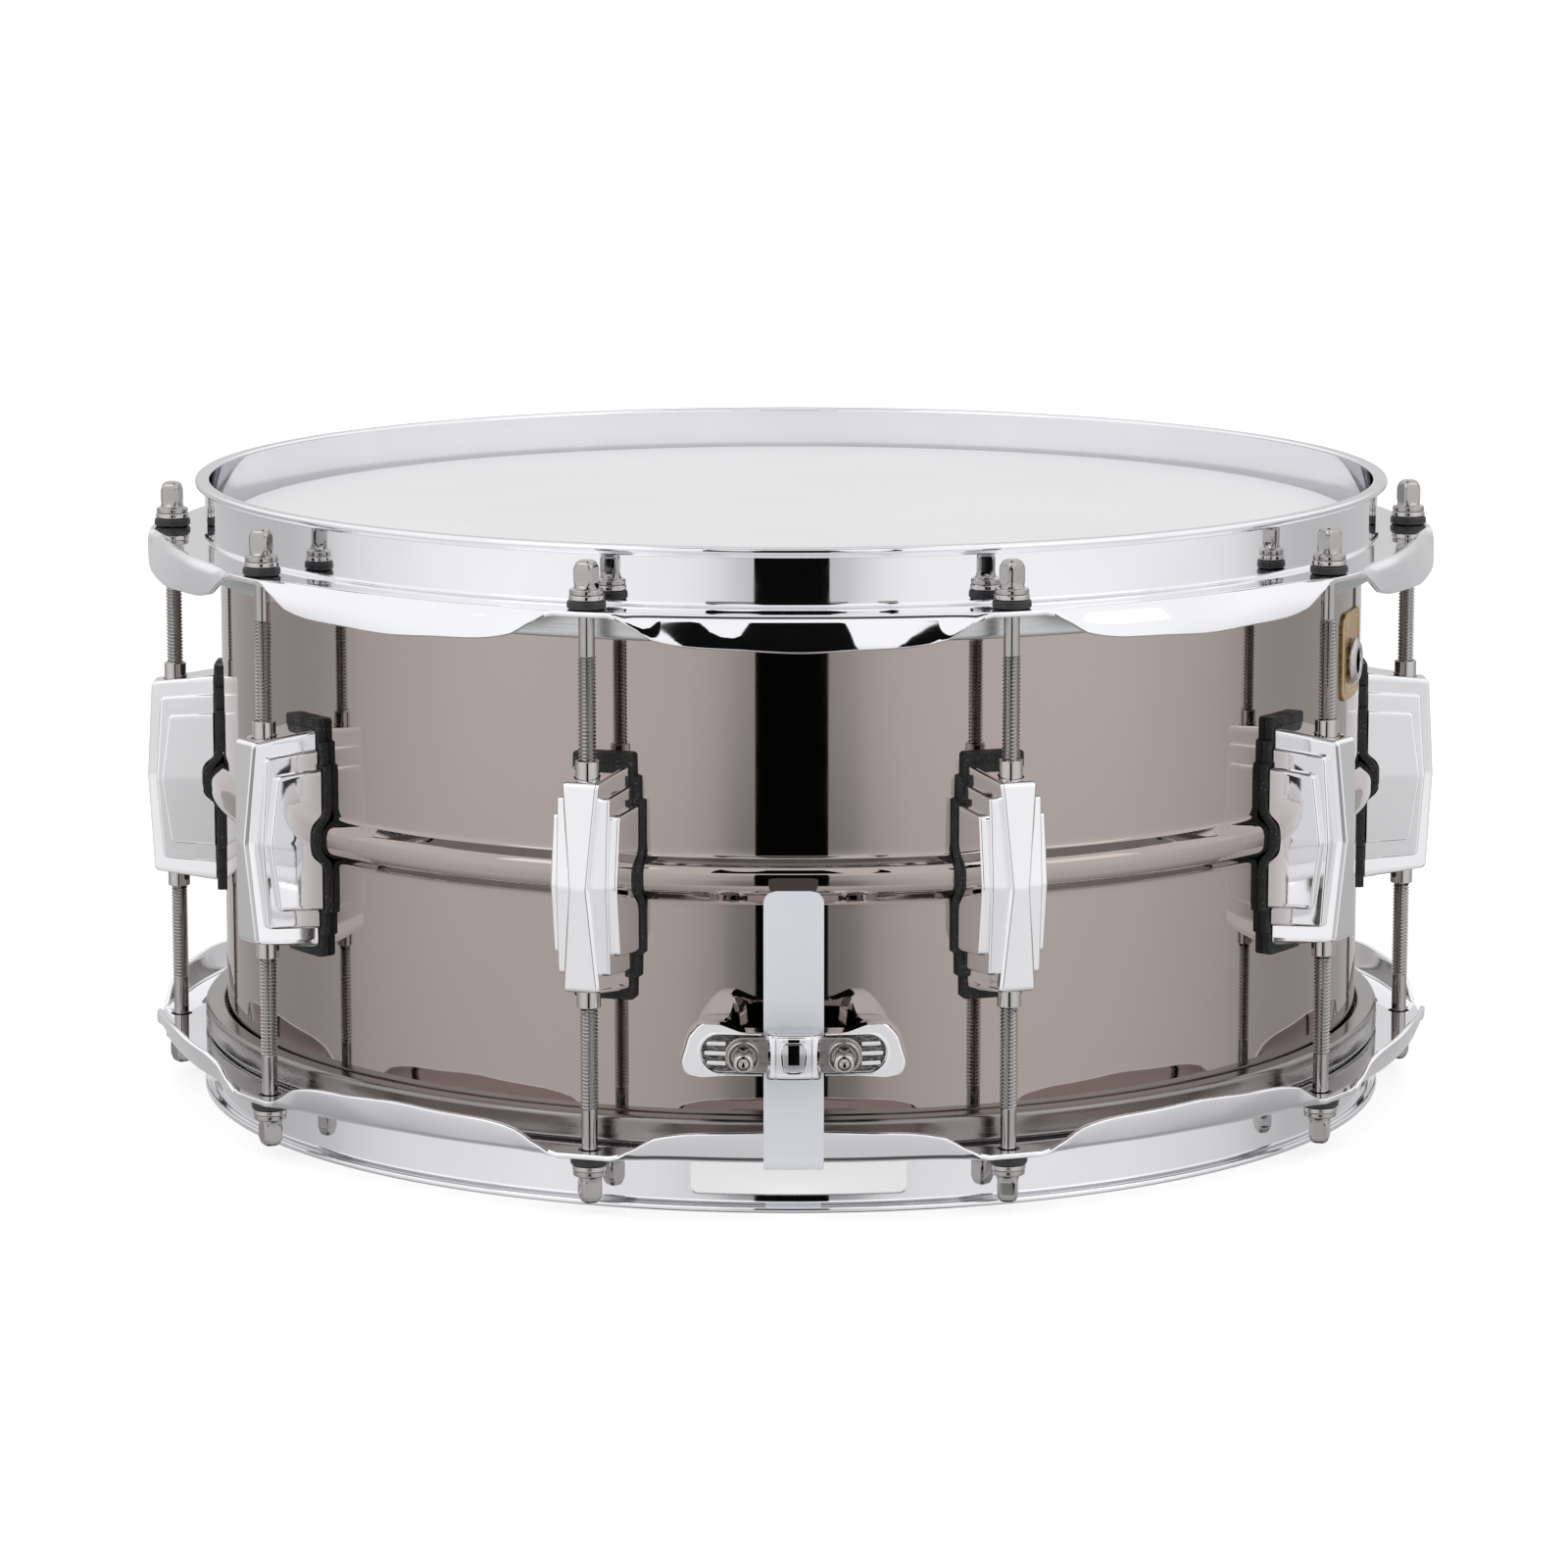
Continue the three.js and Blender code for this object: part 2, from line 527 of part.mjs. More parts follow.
// A forked lever: two arms on stub pins, joined by a thumb paddle above the knob.
function strainerLever() {
  const outer = CHEEK_OUT + 3.4;
  const arm = sidePlate([
    [188, 70], [194, 68.5], [197.4, 72], [198.4, 86], [203.4, 98], [203.4, LEVER_TOP - 2],
    [201.4, LEVER_TOP], [199.4, LEVER_TOP], [199.4, 98], [190, 88], [187, 76],
  ], outer);
  const between = block([-CHEEK_OUT - 0.4, 184, 60], [CHEEK_OUT + 0.4, 206, 98]);
  let lever = solid(arm).subtract(solid(between));
  for (const side of [-1, 1]) {
    const pin = new THREE.CylinderGeometry(2.5, 2.5, 5, 8).rotateZ(Math.PI / 2);
    lever = lever.add(solid(pin.translate(side * (CHEEK_IN + 3.2), -PIVOT_R, PIVOT_Z)));
  }
  return geometryOf(lever);
}

function makeStrainer() {
  const back = { angle: 180 };
  add('strainer_body', strainerBody(), CHROME, back);
  add('strainer_carriage', strainerCarriage(), STEEL, back);
  add('strainer_block', strainerBlock(), CHROME, back);
  add('strainer_clamp', clampGeometry(21), CHROME, back);
  add('strainer_knob', strainerKnob(), CHROME, back);
  add('strainer_lever', strainerLever(), CHROME, back);
  add('strainer_strap', strapGeometry(68), STRAP_PLASTIC, back);
}

makeShell();
makeHoops();
makeHeads();
makeLugsAndRods();
makeBadge();
makeButt();
makeSnareWires();
makeStrainer();

export default drum;
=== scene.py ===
"""A 14 x 6.5 inch metal snare drum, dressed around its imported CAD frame.

Shapes are drawn in millimetres and turned into metres when their mesh is made. A piece that sits on
the drum's side is drawn at the front, facing -Y, and turned about Z to its place.
"""
import json
import math

import bmesh
import bpy
import numpy as np
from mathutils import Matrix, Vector


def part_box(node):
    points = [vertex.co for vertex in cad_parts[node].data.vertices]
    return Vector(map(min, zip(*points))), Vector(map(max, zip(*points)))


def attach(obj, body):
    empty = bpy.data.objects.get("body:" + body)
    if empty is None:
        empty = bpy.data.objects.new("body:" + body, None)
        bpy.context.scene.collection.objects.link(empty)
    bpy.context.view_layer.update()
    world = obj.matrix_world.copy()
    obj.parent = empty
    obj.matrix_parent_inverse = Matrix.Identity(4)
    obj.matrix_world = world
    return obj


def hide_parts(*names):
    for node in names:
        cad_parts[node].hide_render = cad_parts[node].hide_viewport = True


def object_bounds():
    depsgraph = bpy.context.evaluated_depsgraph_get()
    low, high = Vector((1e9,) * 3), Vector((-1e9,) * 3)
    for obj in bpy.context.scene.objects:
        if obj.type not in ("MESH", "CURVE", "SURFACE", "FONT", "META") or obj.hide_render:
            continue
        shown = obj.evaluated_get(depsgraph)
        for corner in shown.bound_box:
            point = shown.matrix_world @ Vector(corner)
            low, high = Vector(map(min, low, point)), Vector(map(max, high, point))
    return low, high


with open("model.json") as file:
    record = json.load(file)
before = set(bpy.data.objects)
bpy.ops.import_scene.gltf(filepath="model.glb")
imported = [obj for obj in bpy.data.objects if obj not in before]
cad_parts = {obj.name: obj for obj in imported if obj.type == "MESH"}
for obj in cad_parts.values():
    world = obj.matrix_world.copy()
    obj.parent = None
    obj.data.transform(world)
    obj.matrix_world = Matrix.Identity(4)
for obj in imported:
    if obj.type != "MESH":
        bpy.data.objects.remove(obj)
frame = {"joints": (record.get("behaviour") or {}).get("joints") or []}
CAD_LOW, CAD_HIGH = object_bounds()
MM = 0.001

# ------------------------------------------------------------------ sizes
SIDES = 360                                   # facets of a large turned piece
HEIGHT = CAD_HIGH.z / MM
MID = HEIGHT / 2
SHELL_LOW, SHELL_HIGH = (corner.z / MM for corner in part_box("shell"))
SHELL_R = 177.8
SHELL_WALL = 1.2
EDGE_R = 174.0                                # crown of the turned-in bearing edge
EDGE_RISE = 4.2
BED_DEPTH = 1.8                               # the snare beds, two dips in the lower edge
BED_ANGLE = 16
BEAD_R = 182.0

ROD_COUNT = 10
SECTOR = 360 / ROD_COUNT
ROD_CIRCLE = Vector(frame["joints"][0]["pos_m"][:2]).length / MM
ROD_HEAD = 5.9
THREAD_PITCH = 1.058                          # 12-24

HOOP_INNER, HOOP_OUTER = 180.6, 182.2
HOOP_THICK = HOOP_OUTER - HOOP_INNER
LIP_R = 185.2
SHELF_DROP = 17.1                             # from the rim to the flange's outer face
SKIRT_R = 199.8
EAR_R = 200.2
BEND_R = 3.4                                  # the flange's bend; the skirt below it steepens a little
BEND_TURN, BEND_END = math.radians(64), math.radians(76)
SKIRT_EDGE = [(0, 18.7), (2.2, 18.7), (4.4, 21.8), (6.2, 25.2), (9.4, 26.9), (13.3, 27.4), (18, 28.1)]

FLESH_LOW, FLESH_HIGH = (corner.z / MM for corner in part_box("batter_flesh_hoop"))
FILM_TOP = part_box("batter_head_film")[1].z / MM

LUG_HALF = 30.3
NUT_R = 3.45                                  # collar of the swivel nut
NUT_REACH = 35.5                              # from the lug's middle to the collar's end
VENT_Z = sum(corner.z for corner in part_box("vent_grommet")) / 2 / MM
VENT_TURN = 72.5
BUTT_TURN = -0.5
CLAMP_Z = 50.2
SCREW_X = 14.1
WING_BOW = 130                                # the butt casting's ends sweep back
WIRE_Z = 11.2                                 # middle of the snare wires
ROOM_Y = -0.33                                # metres; where the dark shapes in the skirt stand


def along(table, x):
    """A smooth curve through (x, y) pairs, with no overshoot between them."""
    xs, ys = (np.array(column, float) for column in zip(*table))
    slopes = np.diff(ys) / np.diff(xs)
    pairs = slopes[:-1] * slopes[1:]
    inner = np.where(pairs > 0, 2 * pairs / np.where(pairs > 0, slopes[:-1] + slopes[1:], 1), 0)
    tangents = np.concatenate([[slopes[0]], inner, [0]])
    i = int(np.clip(np.searchsorted(xs, x) - 1, 0, len(slopes) - 1))
    width = xs[i + 1] - xs[i]
    t = min(max((x - xs[i]) / width, 0), 1)
    ease = t * t * (3 - 2 * t)
    bend = width * t * (1 - t) * ((1 - t) * tangents[i] - t * tangents[i + 1])
    return ys[i] + ease * (ys[i + 1] - ys[i]) + bend


# ------------------------------------------------------------------ outlines and shapes
def rounded(points, steps=5, closed=True):
    """An outline whose corners are rounded where a point has a third number, the corner's radius."""
    result, count = [], len(points)
    for i, (x, y, *radius) in enumerate(points):
        if not radius or (not closed and i in (0, count - 1)):
            result.append((x, y))
            continue
        here = np.array((x, y), float)
        before, after = np.array(points[i - 1][:2]) - here, np.array(points[(i + 1) % count][:2]) - here
        reach = 0.49 * min(np.linalg.norm(before), np.linalg.norm(after))
        before, after = before / np.linalg.norm(before), after / np.linalg.norm(after)
        half = math.acos(max(-1, min(1, before @ after))) / 2
        if half > math.radians(89.5):
            result.extend([(x, y)] * (steps + 1))
            continue
        cut = min(radius[0] / math.tan(half), reach)
        centre = here + (before + after) / np.linalg.norm(before + after) * cut / math.cos(half)
        start, end = here + before * cut - centre, here + after * cut - centre
        turn = math.atan2(start[0] * end[1] - start[1] * end[0], start @ end)
        for k in range(steps + 1):
            a = turn * k / steps
            c, s = math.cos(a), math.sin(a)
            result.append((centre[0] + start[0] * c - start[1] * s, centre[1] + start[0] * s + start[1] * c))
    return result


def mirrored(points):
    """An outline drawn on the +x side, from bottom to top, with its other half added."""
    return [*points, *((-x, *rest) for x, *rest in reversed(points))]


def plate_outline(half, low, high, radius, steps=5):
    """A rectangle with rounded corners, as wide to both sides of the middle."""
    return rounded([(half, low, radius), (half, high, radius), (-half, high, radius), (-half, low, radius)],
                   steps)


def full_turn(count):
    return [2 * math.pi * k / count for k in range(count)]


def circle(radius, count=24):
    return [(radius * math.cos(a), radius * math.sin(a)) for a in full_turn(count)]


def loft(sections, around=False):
    """Joins rings of equally many points in order, and caps the ends unless they go round."""
    count, total = len(sections[0]), len(sections)
    points = [point for section in sections for point in section]
    faces = []
    for i in range(total if around else total - 1):
        here, there = i * count, (i + 1) % total * count
        for j in range(count):
            k = (j + 1) % count
            faces.append((here + j, here + k, there + k, there + j))
    if not around:
        faces += [tuple(range(count))[::-1], tuple(range(len(points) - count, len(points)))]
    return points, faces


def at_angle(r, angle, z):
    a = math.radians(angle)
    return r * math.sin(a), -r * math.cos(a), z


def turned_by(section_at, angles):
    """A ring about Z whose (radius, height) section depends on the angle."""
    return loft([[at_angle(r, a, z) for r, z in section_at(a)] for a in angles], around=True)


def lathe(profile, sides=SIDES, x=0, y=0):
    """A closed (radius, height) profile turned about an upright axis."""
    points, faces = turned_by(lambda _: profile, [360 * k / sides for k in range(sides)])
    return [(px + x, py + y, pz) for px, py, pz in points], faces


def cylinder(radius, low, high, sides=32, y=0):
    return lathe([(0, low), (radius, low), (radius, high), (0, high)], sides, 0, y)


def front(outline, near, far):
    """An (x, z) outline seen from the front, from radius near out to radius far."""
    return loft([[(x, -r, z) for x, z in outline] for r in (near, far)])


def side(outline, low, high):
    """A (radius, z) outline seen from the side, between two x."""
    return loft([[(x, -r, z) for r, z in outline] for x in (low, high)])


def plan(outline, low, high):
    """An (x, radius) outline seen from above, between two heights."""
    return loft([[(x, -r, z) for x, r in outline] for z in (low, high)])


def outward(profile, x, z, sides=32):
    """A closed profile turned about an axis that points outwards. Its pairs are the radius about that
    axis and the distance from the drum's own axis."""
    points, faces = lathe(profile, sides)
    return [(px + x, -pz, py + z) for px, py, pz in points], faces


def together(*shapes):
    points, faces = [], []
    for some_points, some_faces in shapes:
        faces += [tuple(i + len(points) for i in face) for face in some_faces]
        points += some_points
    return points, faces


def moved(shape, change):
    points, faces = shape
    return [change(*point) for point in points], faces


def turned_over(shape):
    """The shape for the drum's other side, turned half a turn about X."""
    return moved(shape, lambda x, y, z: (x, -y, HEIGHT - z))


def spun(shape, angle):
    c, s = math.cos(math.radians(angle)), math.sin(math.radians(angle))
    return moved(shape, lambda x, y, z: (x * c - y * s, x * s + y * c, z))


def bowed(shape, radius):
    """A shape drawn flat at the front, with its ends bowed back to a radius."""
    return moved(shape, lambda x, y, z: (x, y + x * x / (2 * radius), z))


def mesh_of(name, shape):
    points, faces = shape
    mesh = bpy.data.meshes.new(name)
    mesh.from_pydata(np.array(points, float) * MM, [], faces)
    work = bmesh.new()
    work.from_mesh(mesh)
    bmesh.ops.remove_doubles(work, verts=work.verts, dist=1e-7)
    bmesh.ops.recalc_face_normals(work, faces=work.faces)
    work.to_mesh(mesh)
    work.free()
    return mesh


def in_scene(name, data, place=(0, 0, 0)):
    made = bpy.data.objects.new(name, data)
    made.location = place
    bpy.context.scene.collection.objects.link(made)
    return made


def combined(shape, operation, *others):
    """The exact union or difference of a shape with others, one after another."""
    objects = [in_scene("work", mesh_of("work", each)) for each in (shape, *others)]
    for other in objects[1:]:
        modifier = objects[0].modifiers.new("cut", "BOOLEAN")
        modifier.operation, modifier.solver, modifier.object = operation, "EXACT", other
    done = objects[0].evaluated_get(bpy.context.evaluated_depsgraph_get()).to_mesh()
    points = [tuple(v.co / MM) for v in done.vertices]
    faces = [tuple(face.vertices) for face in done.polygons]
    meshes = [each.data for each in objects]
    for each in objects:
        bpy.data.objects.remove(each)
    for mesh in meshes:
        bpy.data.meshes.remove(mesh)
    return points, faces


def cut(shape, *others):
    return combined(shape, "DIFFERENCE", *others)


def joined(shape, *others):
    return combined(shape, "UNION", *others)


def core(clearance):
    """Everything inside the shell's outer face grown by a clearance, bead included."""
    wall, bead = SHELL_R + clearance, BEAD_R + clearance
    foot, crown = 6.6 + clearance / 2, 3 + clearance / 2
    face = rounded([
        (wall, MID - foot - 6), (wall, MID - foot, 2), (bead, MID - crown, 4.5), (bead, MID + crown, 4.5),
        (wall, MID + foot, 2), (wall, MID + foot + 6)], closed=False)
    return lathe([(0, -5), (wall, -5), *face, (wall, HEIGHT + 5), (0, HEIGHT + 5)], 180)


# ------------------------------------------------------------------ materials
class Nodes:
    """A material being made: its shader, and short ways to add texture nodes."""

    def __init__(self, name, colour, roughness, metallic=0.0):
        self.material = bpy.data.materials.new(name)
        self.material.use_nodes = True
        self.tree = self.material.node_tree
        self.shader = self.tree.nodes["Principled BSDF"]
        self.set("Base Color", (*colour, 1))
        self.set("Roughness", roughness)
        self.set("Metallic", metallic)
        self.place = self.add("ShaderNodeTexCoord").outputs["Object"]

    def set(self, socket, value):
        self.shader.inputs[socket].default_value = value

    def add(self, kind, **values):
        node = self.tree.nodes.new(kind)
        for key, value in values.items():
            setattr(node, key, value)
        return node

    def link(self, source, target):
        self.tree.links.new(source, target)

    def noise(self, scale, detail=3, stretch=None, distortion=0.0):
        node = self.add("ShaderNodeTexNoise")
        node.inputs["Scale"].default_value = scale
        node.inputs["Detail"].default_value = detail
        node.inputs["Distortion"].default_value = distortion
        source = self.place
        if stretch:
            mapping = self.add("ShaderNodeMapping")
            mapping.inputs["Scale"].default_value = stretch
            self.link(source, mapping.inputs["Vector"])
            source = mapping.outputs["Vector"]
        self.link(source, node.inputs["Vector"])
        return node.outputs["Fac"]

    def ranged(self, source, low, high, from_low=0.3, from_high=0.7):
        node = self.add("ShaderNodeMapRange")
        limits = {"From Min": from_low, "From Max": from_high, "To Min": low, "To Max": high}
        for socket, value in limits.items():
            node.inputs[socket].default_value = value
        self.link(source, node.inputs["Value"])
        return node.outputs["Result"]

    def rough(self, source, low, high, **limits):
        self.link(self.ranged(source, low, high, **limits), self.shader.inputs["Roughness"])
        return self

    def tint(self, source, low, high, **limits):
        """The base colour goes from low to high with the source."""
        mix = self.add("ShaderNodeMix", data_type="RGBA")
        self.link(self.ranged(source, 0, 1, **limits), mix.inputs["Factor"])
        ends = [socket for socket in mix.inputs if socket.type == "RGBA"]
        for socket, value in zip(ends, (low, high)):
            socket.default_value = (*value, 1)
        colour = next(socket for socket in mix.outputs if socket.type == "RGBA")
        self.link(colour, self.shader.inputs["Base Color"])
        return self

    def bump(self, *sources, depth=0.00002):
        """Each source is (texture, strength); they are added on top of each other."""
        normal = None
        for source, strength in sources:
            node = self.add("ShaderNodeBump")
            node.inputs["Strength"].default_value = strength
            node.inputs["Distance"].default_value = depth
            self.link(source, node.inputs["Height"])
            if normal:
                self.link(normal, node.inputs["Normal"])
            normal = node.outputs["Normal"]
        self.link(normal, self.shader.inputs["Normal"])
        return self


def plated(name, colour, low, high, smear=(60, 60, 60), polish=0.05, depth=0.00001, wave=0.0):
    """A plated metal: cloudy smears in its gloss, and fine polishing marks. A casting is a bit wavy."""
    made = Nodes(name, colour, low, metallic=1.0)
    made.rough(made.noise(1, 4, smear, 0.4), low, high)
    made.tint(made.noise(24, 2), colour, tuple(min(1, c * 1.05) for c in colour))
    marks = [(made.noise(1, 3, (260, 260, 3200)), polish), (made.noise(900, 2), polish)]
    if wave:
        marks.append((made.noise(110, 1), wave))
    return made.bump(*marks, depth=depth).material


def black_nickel():
    made = Nodes("black_nickel_plate", (0.44, 0.382, 0.36), 0.03, metallic=1.0)
    made.rough(made.noise(1, 4, (9, 9, 30), 0.5), 0.022, 0.05)
    made.tint(made.noise(6, 2), (0.425, 0.368, 0.347), (0.455, 0.396, 0.373))
    return made.bump((made.noise(1, 2, (60, 60, 1500)), 0.05), depth=0.00001).material


def rubber():
    made = Nodes("gasket_rubber", (0.012, 0.012, 0.013), 0.6)
    grain = made.noise(2600, 4)
    specks = made.noise(1500, 1)
    made.tint(specks, (0.008, 0.008, 0.009), (0.1, 0.1, 0.1), from_low=0.66, from_high=0.74)
    made.rough(made.noise(300, 3), 0.42, 0.7)
    return made.bump((grain, 0.6), (made.noise(260, 3), 0.4), depth=0.0002).material


def coated_film():
    """White coating sprayed on the film. On the real head it stops short of the collar; here it covers the
    whole film.
    """
    made = Nodes("coated_drumhead", (0.79, 0.78, 0.795), 0.6)
    made.set("Specular IOR Level", 0.35)
    grain = made.noise(2200, 3)
    cloud = made.noise(14, 3)
    made.tint(cloud, (0.775, 0.765, 0.78), (0.805, 0.795, 0.81))
    made.rough(grain, 0.45, 0.7)
    return made.bump((grain, 0.35), (made.noise(500, 2), 0.2), depth=0.00008).material


def clear_film():
    made = Nodes("clear_drumhead", (0.93, 0.95, 0.96), 0.06)
    made.set("Transmission Weight", 0.92)
    made.set("IOR", 1.5)
    made.rough(made.noise(30, 4), 0.03, 0.12)
    return made.bump((made.noise(45, 2), 0.1), depth=0.0001).material


def strap_plastic():
    made = Nodes("strap_plastic", (0.57, 0.59, 0.62), 0.32)
    made.tint(made.noise(40, 3), (0.58, 0.595, 0.63), (0.6, 0.615, 0.65))
    made.rough(made.noise(220, 3), 0.28, 0.36)
    return made.bump((made.noise(700, 3), 0.08), depth=0.00003).material


def black_nylon():
    made = Nodes("black_nylon", (0.02, 0.02, 0.021), 0.4)
    made.rough(made.noise(700, 3), 0.32, 0.5)
    return made.bump((made.noise(1800, 2), 0.2), depth=0.00004).material


def cast_grain():
    """The sunk panels of the butt plate: rough, darkened casting."""
    made = Nodes("darkened_casting", (0.3, 0.29, 0.28), 0.4, metallic=1.0)
    grain = made.noise(1, 4, (700, 700, 2400), 0.6)
    made.tint(grain, (0.06, 0.057, 0.053), (0.3, 0.29, 0.28), from_low=0.4, from_high=0.64)
    made.rough(grain, 0.5, 0.28)
    return made.bump((grain, 0.8), depth=0.0003).material


def brass():
    made = Nodes("badge_brass", (0.72, 0.52, 0.25), 0.3, metallic=1.0)
    made.tint(made.noise(90, 4), (0.5, 0.34, 0.17), (0.78, 0.57, 0.3))
    made.rough(made.noise(1, 3, (300, 300, 2200)), 0.22, 0.42)
    return made.bump((made.noise(1, 3, (300, 300, 2600)), 0.3), depth=0.00003).material


FINISHES = {
    "black_nickel": black_nickel(),
    "chrome": plated("bright_chrome", (0.885, 0.88, 0.91), 0.018, 0.05, polish=0.03),
    "nickel": plated("nickel_plate", (0.56, 0.54, 0.53), 0.035, 0.09, (300, 300, 300), 0.08, 0.00001),
    "aluminium": plated("brushed_aluminium", (0.62, 0.63, 0.64), 0.25, 0.42, (40, 40, 2400), 0.5, 0.00003),
    "brass": brass(),
    "steel": plated("plain_steel", (0.66, 0.66, 0.67), 0.14, 0.3, (200, 200, 900), 0.3, 0.00002),
    "rubber": rubber(),
    "coated_film": coated_film(),
    "clear_film": clear_film(),
    "strap_plastic": strap_plastic(),
}
NYLON = black_nylon()
CAST_CHROME = plated("cast_chrome", (0.885, 0.88, 0.9), 0.018, 0.05, polish=0.03, depth=0.00003, wave=0.12)
ROD_NICKEL = plated("rod_nickel", (0.43, 0.415, 0.405), 0.05, 0.14, (300, 300, 300), 0.1, 0.00001)
# The resonant crimp ring is steel and its gloss is its own. Its dark base colour is painted shade from the
# lower hoop and a painted reflection of the dark shell.
CRIMP_STEEL_PAINTED_SHADE = plated("crimped_steel_painted_shade", (0.27, 0.255, 0.245), 0.14, 0.26, (30, 30, 1800), 0.4, 0.00002)
CAST_GRAIN = cast_grain()
CAST_GRAIN_FINE = plated("satin_bar", (0.5, 0.47, 0.455), 0.24, 0.36, (200, 200, 900), 0.3, 0.00002)


# ------------------------------------------------------------------ pieces
def piece(name, shape, slot, body="drum", replaces=(), bevel=0.0, turn=0.0, material=None, smooth=38):
    """One piece of the drum: its shape in mm or a ready mesh, its finish and the body it rides on."""
    mesh = shape if isinstance(shape, bpy.types.Mesh) else mesh_of(name, shape)
    if not mesh.materials:
        mesh.materials.append(material or FINISHES[slot])
        mesh.shade_smooth()
        mesh.set_sharp_from_angle(angle=math.radians(smooth))
    made = in_scene(name, mesh)
    made.rotation_euler.z = math.radians(turn)
    if bevel:
        edges = made.modifiers.new("edges", "BEVEL")
        edges.width, edges.segments, edges.limit_method = bevel * MM, 3, "ANGLE"
        edges.angle_limit = math.radians(28)
        edges.harden_normals = True
        edges.use_clamp_overlap = True
    else:
        normals = made.modifiers.new("normals", "WEIGHTED_NORMAL")
        normals.keep_sharp = True
    if replaces:
        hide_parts(*replaces)
    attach(made, body)
    return made


def numbered():
    """Each lug position's number as text, with its angle."""
    return [(f"{i + 1:02d}", SECTOR * (i + 0.5)) for i in range(ROD_COUNT)]


def bed_depth(angle):
    from_bed = abs((angle + 90) % 180 - 90)
    return BED_DEPTH * math.cos(math.pi / 2 * min(from_bed / BED_ANGLE, 1)) ** 2


def make_shell():
    """Outer face with its centre bead, both turned-in bearing edges, and the inner face."""
    inner = SHELL_R - SHELL_WALL
    inner_bead = BEAD_R - SHELL_WALL

    def section(angle):
        low = SHELL_LOW + bed_depth(angle)
        return rounded([
            (EDGE_R, low, 0.9), (SHELL_R, low + EDGE_RISE, 1.6), (SHELL_R, MID - 9),
            (SHELL_R, MID - 6.5, 2.0), (BEAD_R, MID - 2.9, 4.5), (BEAD_R, MID + 2.9, 4.5),
            (SHELL_R, MID + 6.5, 2.0), (SHELL_R, MID + 9), (SHELL_R, SHELL_HIGH - EDGE_RISE, 1.6),
            (EDGE_R, SHELL_HIGH, 0.9), (EDGE_R - 0.9, SHELL_HIGH - 0.9, 0.3),
            (inner, SHELL_HIGH - EDGE_RISE - 0.7, 1.2), (inner, MID + 9), (inner, MID + 6, 2.0),
            (inner_bead, MID + 2.6, 4.0), (inner_bead, MID - 2.6, 4.0),
            (inner, MID - 6, 2.0), (inner, MID - 9), (inner, low + EDGE_RISE + 0.7, 1.2),
            (EDGE_R - 0.9, low + 0.9, 0.3),
        ], steps=6)

    wall = turned_by(section, [360 * k / SIDES for k in range(SIDES)])
    vent = spun(outward([(0, 170), (4.7, 170), (4.7, 190), (0, 190)], 0, VENT_Z), VENT_TURN)
    piece("shell_body", cut(wall, vent), "black_nickel", replaces=["shell"])


def hoop_section(from_rod):
    """A batter hoop's section in (radius, drop from the rim), at an angle from the nearest rod. The
    flange is bent sheet: a middle line, offset by half the thickness to both sides."""
    half = HOOP_THICK / 2
    shelf = SHELF_DROP + half
    fall = along(SKIRT_EDGE, from_rod) - half - shelf
    share = min(max(fall / (SKIRT_EDGE[-1][1] - half - shelf), 0), 1)
    reach = EAR_R + (SKIRT_R - EAR_R) * share - half
    steep = min(math.acos(max(1 - fall / BEND_R, -1)), BEND_TURN)
    rest = max(fall - BEND_R * (1 - math.cos(steep)), 0)
    pieces = 6
    slopes = [steep + (BEND_END - steep) * (k + 0.5) / pieces for k in range(pieces)]
    run = [rest / pieces / math.tan(slope) if rest else 0.0 for slope in slopes]
    start = reach - sum(run) - BEND_R * math.sin(steep)
    middle = [(start + BEND_R * math.sin(a), shelf + BEND_R * (1 - math.cos(a)))
              for a in (steep * k / 10 for k in range(11))]
    for step in run:
        middle.append((middle[-1][0] + step, middle[-1][1] + rest / pieces))
    line = np.array([(HOOP_OUTER + 4, shelf), *middle])
    steps = np.diff(line, axis=0)
    steps[np.linalg.norm(steps, axis=1) < 1e-6] = (math.cos(steep), math.sin(steep))
    steps = steps / np.linalg.norm(steps, axis=1)[:, None]
    ways = np.vstack([steps[:1], steps[:-1] + steps[1:], steps[-1:]])
    ways = ways / np.linalg.norm(ways, axis=1)[:, None]
    aside = np.stack([-ways[:, 1], ways[:, 0]], axis=1) * half
    tip, way, across = line[-1], ways[-1] * half * 0.5, aside[-1]
    cap = [tip + across * math.cos(a) + way * math.sin(a) for a in (math.pi * k / 8 for k in range(1, 8))]
    flange = [tuple(p) for p in (*(line + aside), *cap, *(line - aside)[::-1])]
    return rounded([
        (HOOP_INNER, 6), (HOOP_INNER, SHELF_DROP + HOOP_THICK, 2.4), *flange, (HOOP_OUTER, SHELF_DROP, 1.3),
        (HOOP_OUTER, 2.1, 1.1), (LIP_R, 2.1, 0.95), (LIP_R, 0, 0.95), (HOOP_INNER, 0, 0.9)])


def make_hoops():
    sections = {}

    def section(angle):
        from_rod = round(abs(angle % SECTOR - SECTOR / 2), 3)
        if from_rod not in sections:
            sections[from_rod] = [(r, HEIGHT - drop) for r, drop in hoop_section(from_rod)]
        return sections[from_rod]

    hoop = turned_by(section, [0.75 * k for k in range(480)])
    hole = cylinder(3.4, HEIGHT - 21, HEIGHT - 15, 24, -ROD_CIRCLE)
    hoop = cut(hoop, together(*(spun(hole, angle) for _, angle in numbered())))
    piece("batter_counterhoop", hoop, "chrome", replaces=["batter_hoop"])
    opening = plate_outline(31, 4.6, 15.2, 2.2)
    gates = together(front(opening, 176, 190), front(opening, -190, -176))
    piece("resonant_counterhoop", cut(turned_over(hoop), gates), "chrome", replaces=["resonant_hoop"])


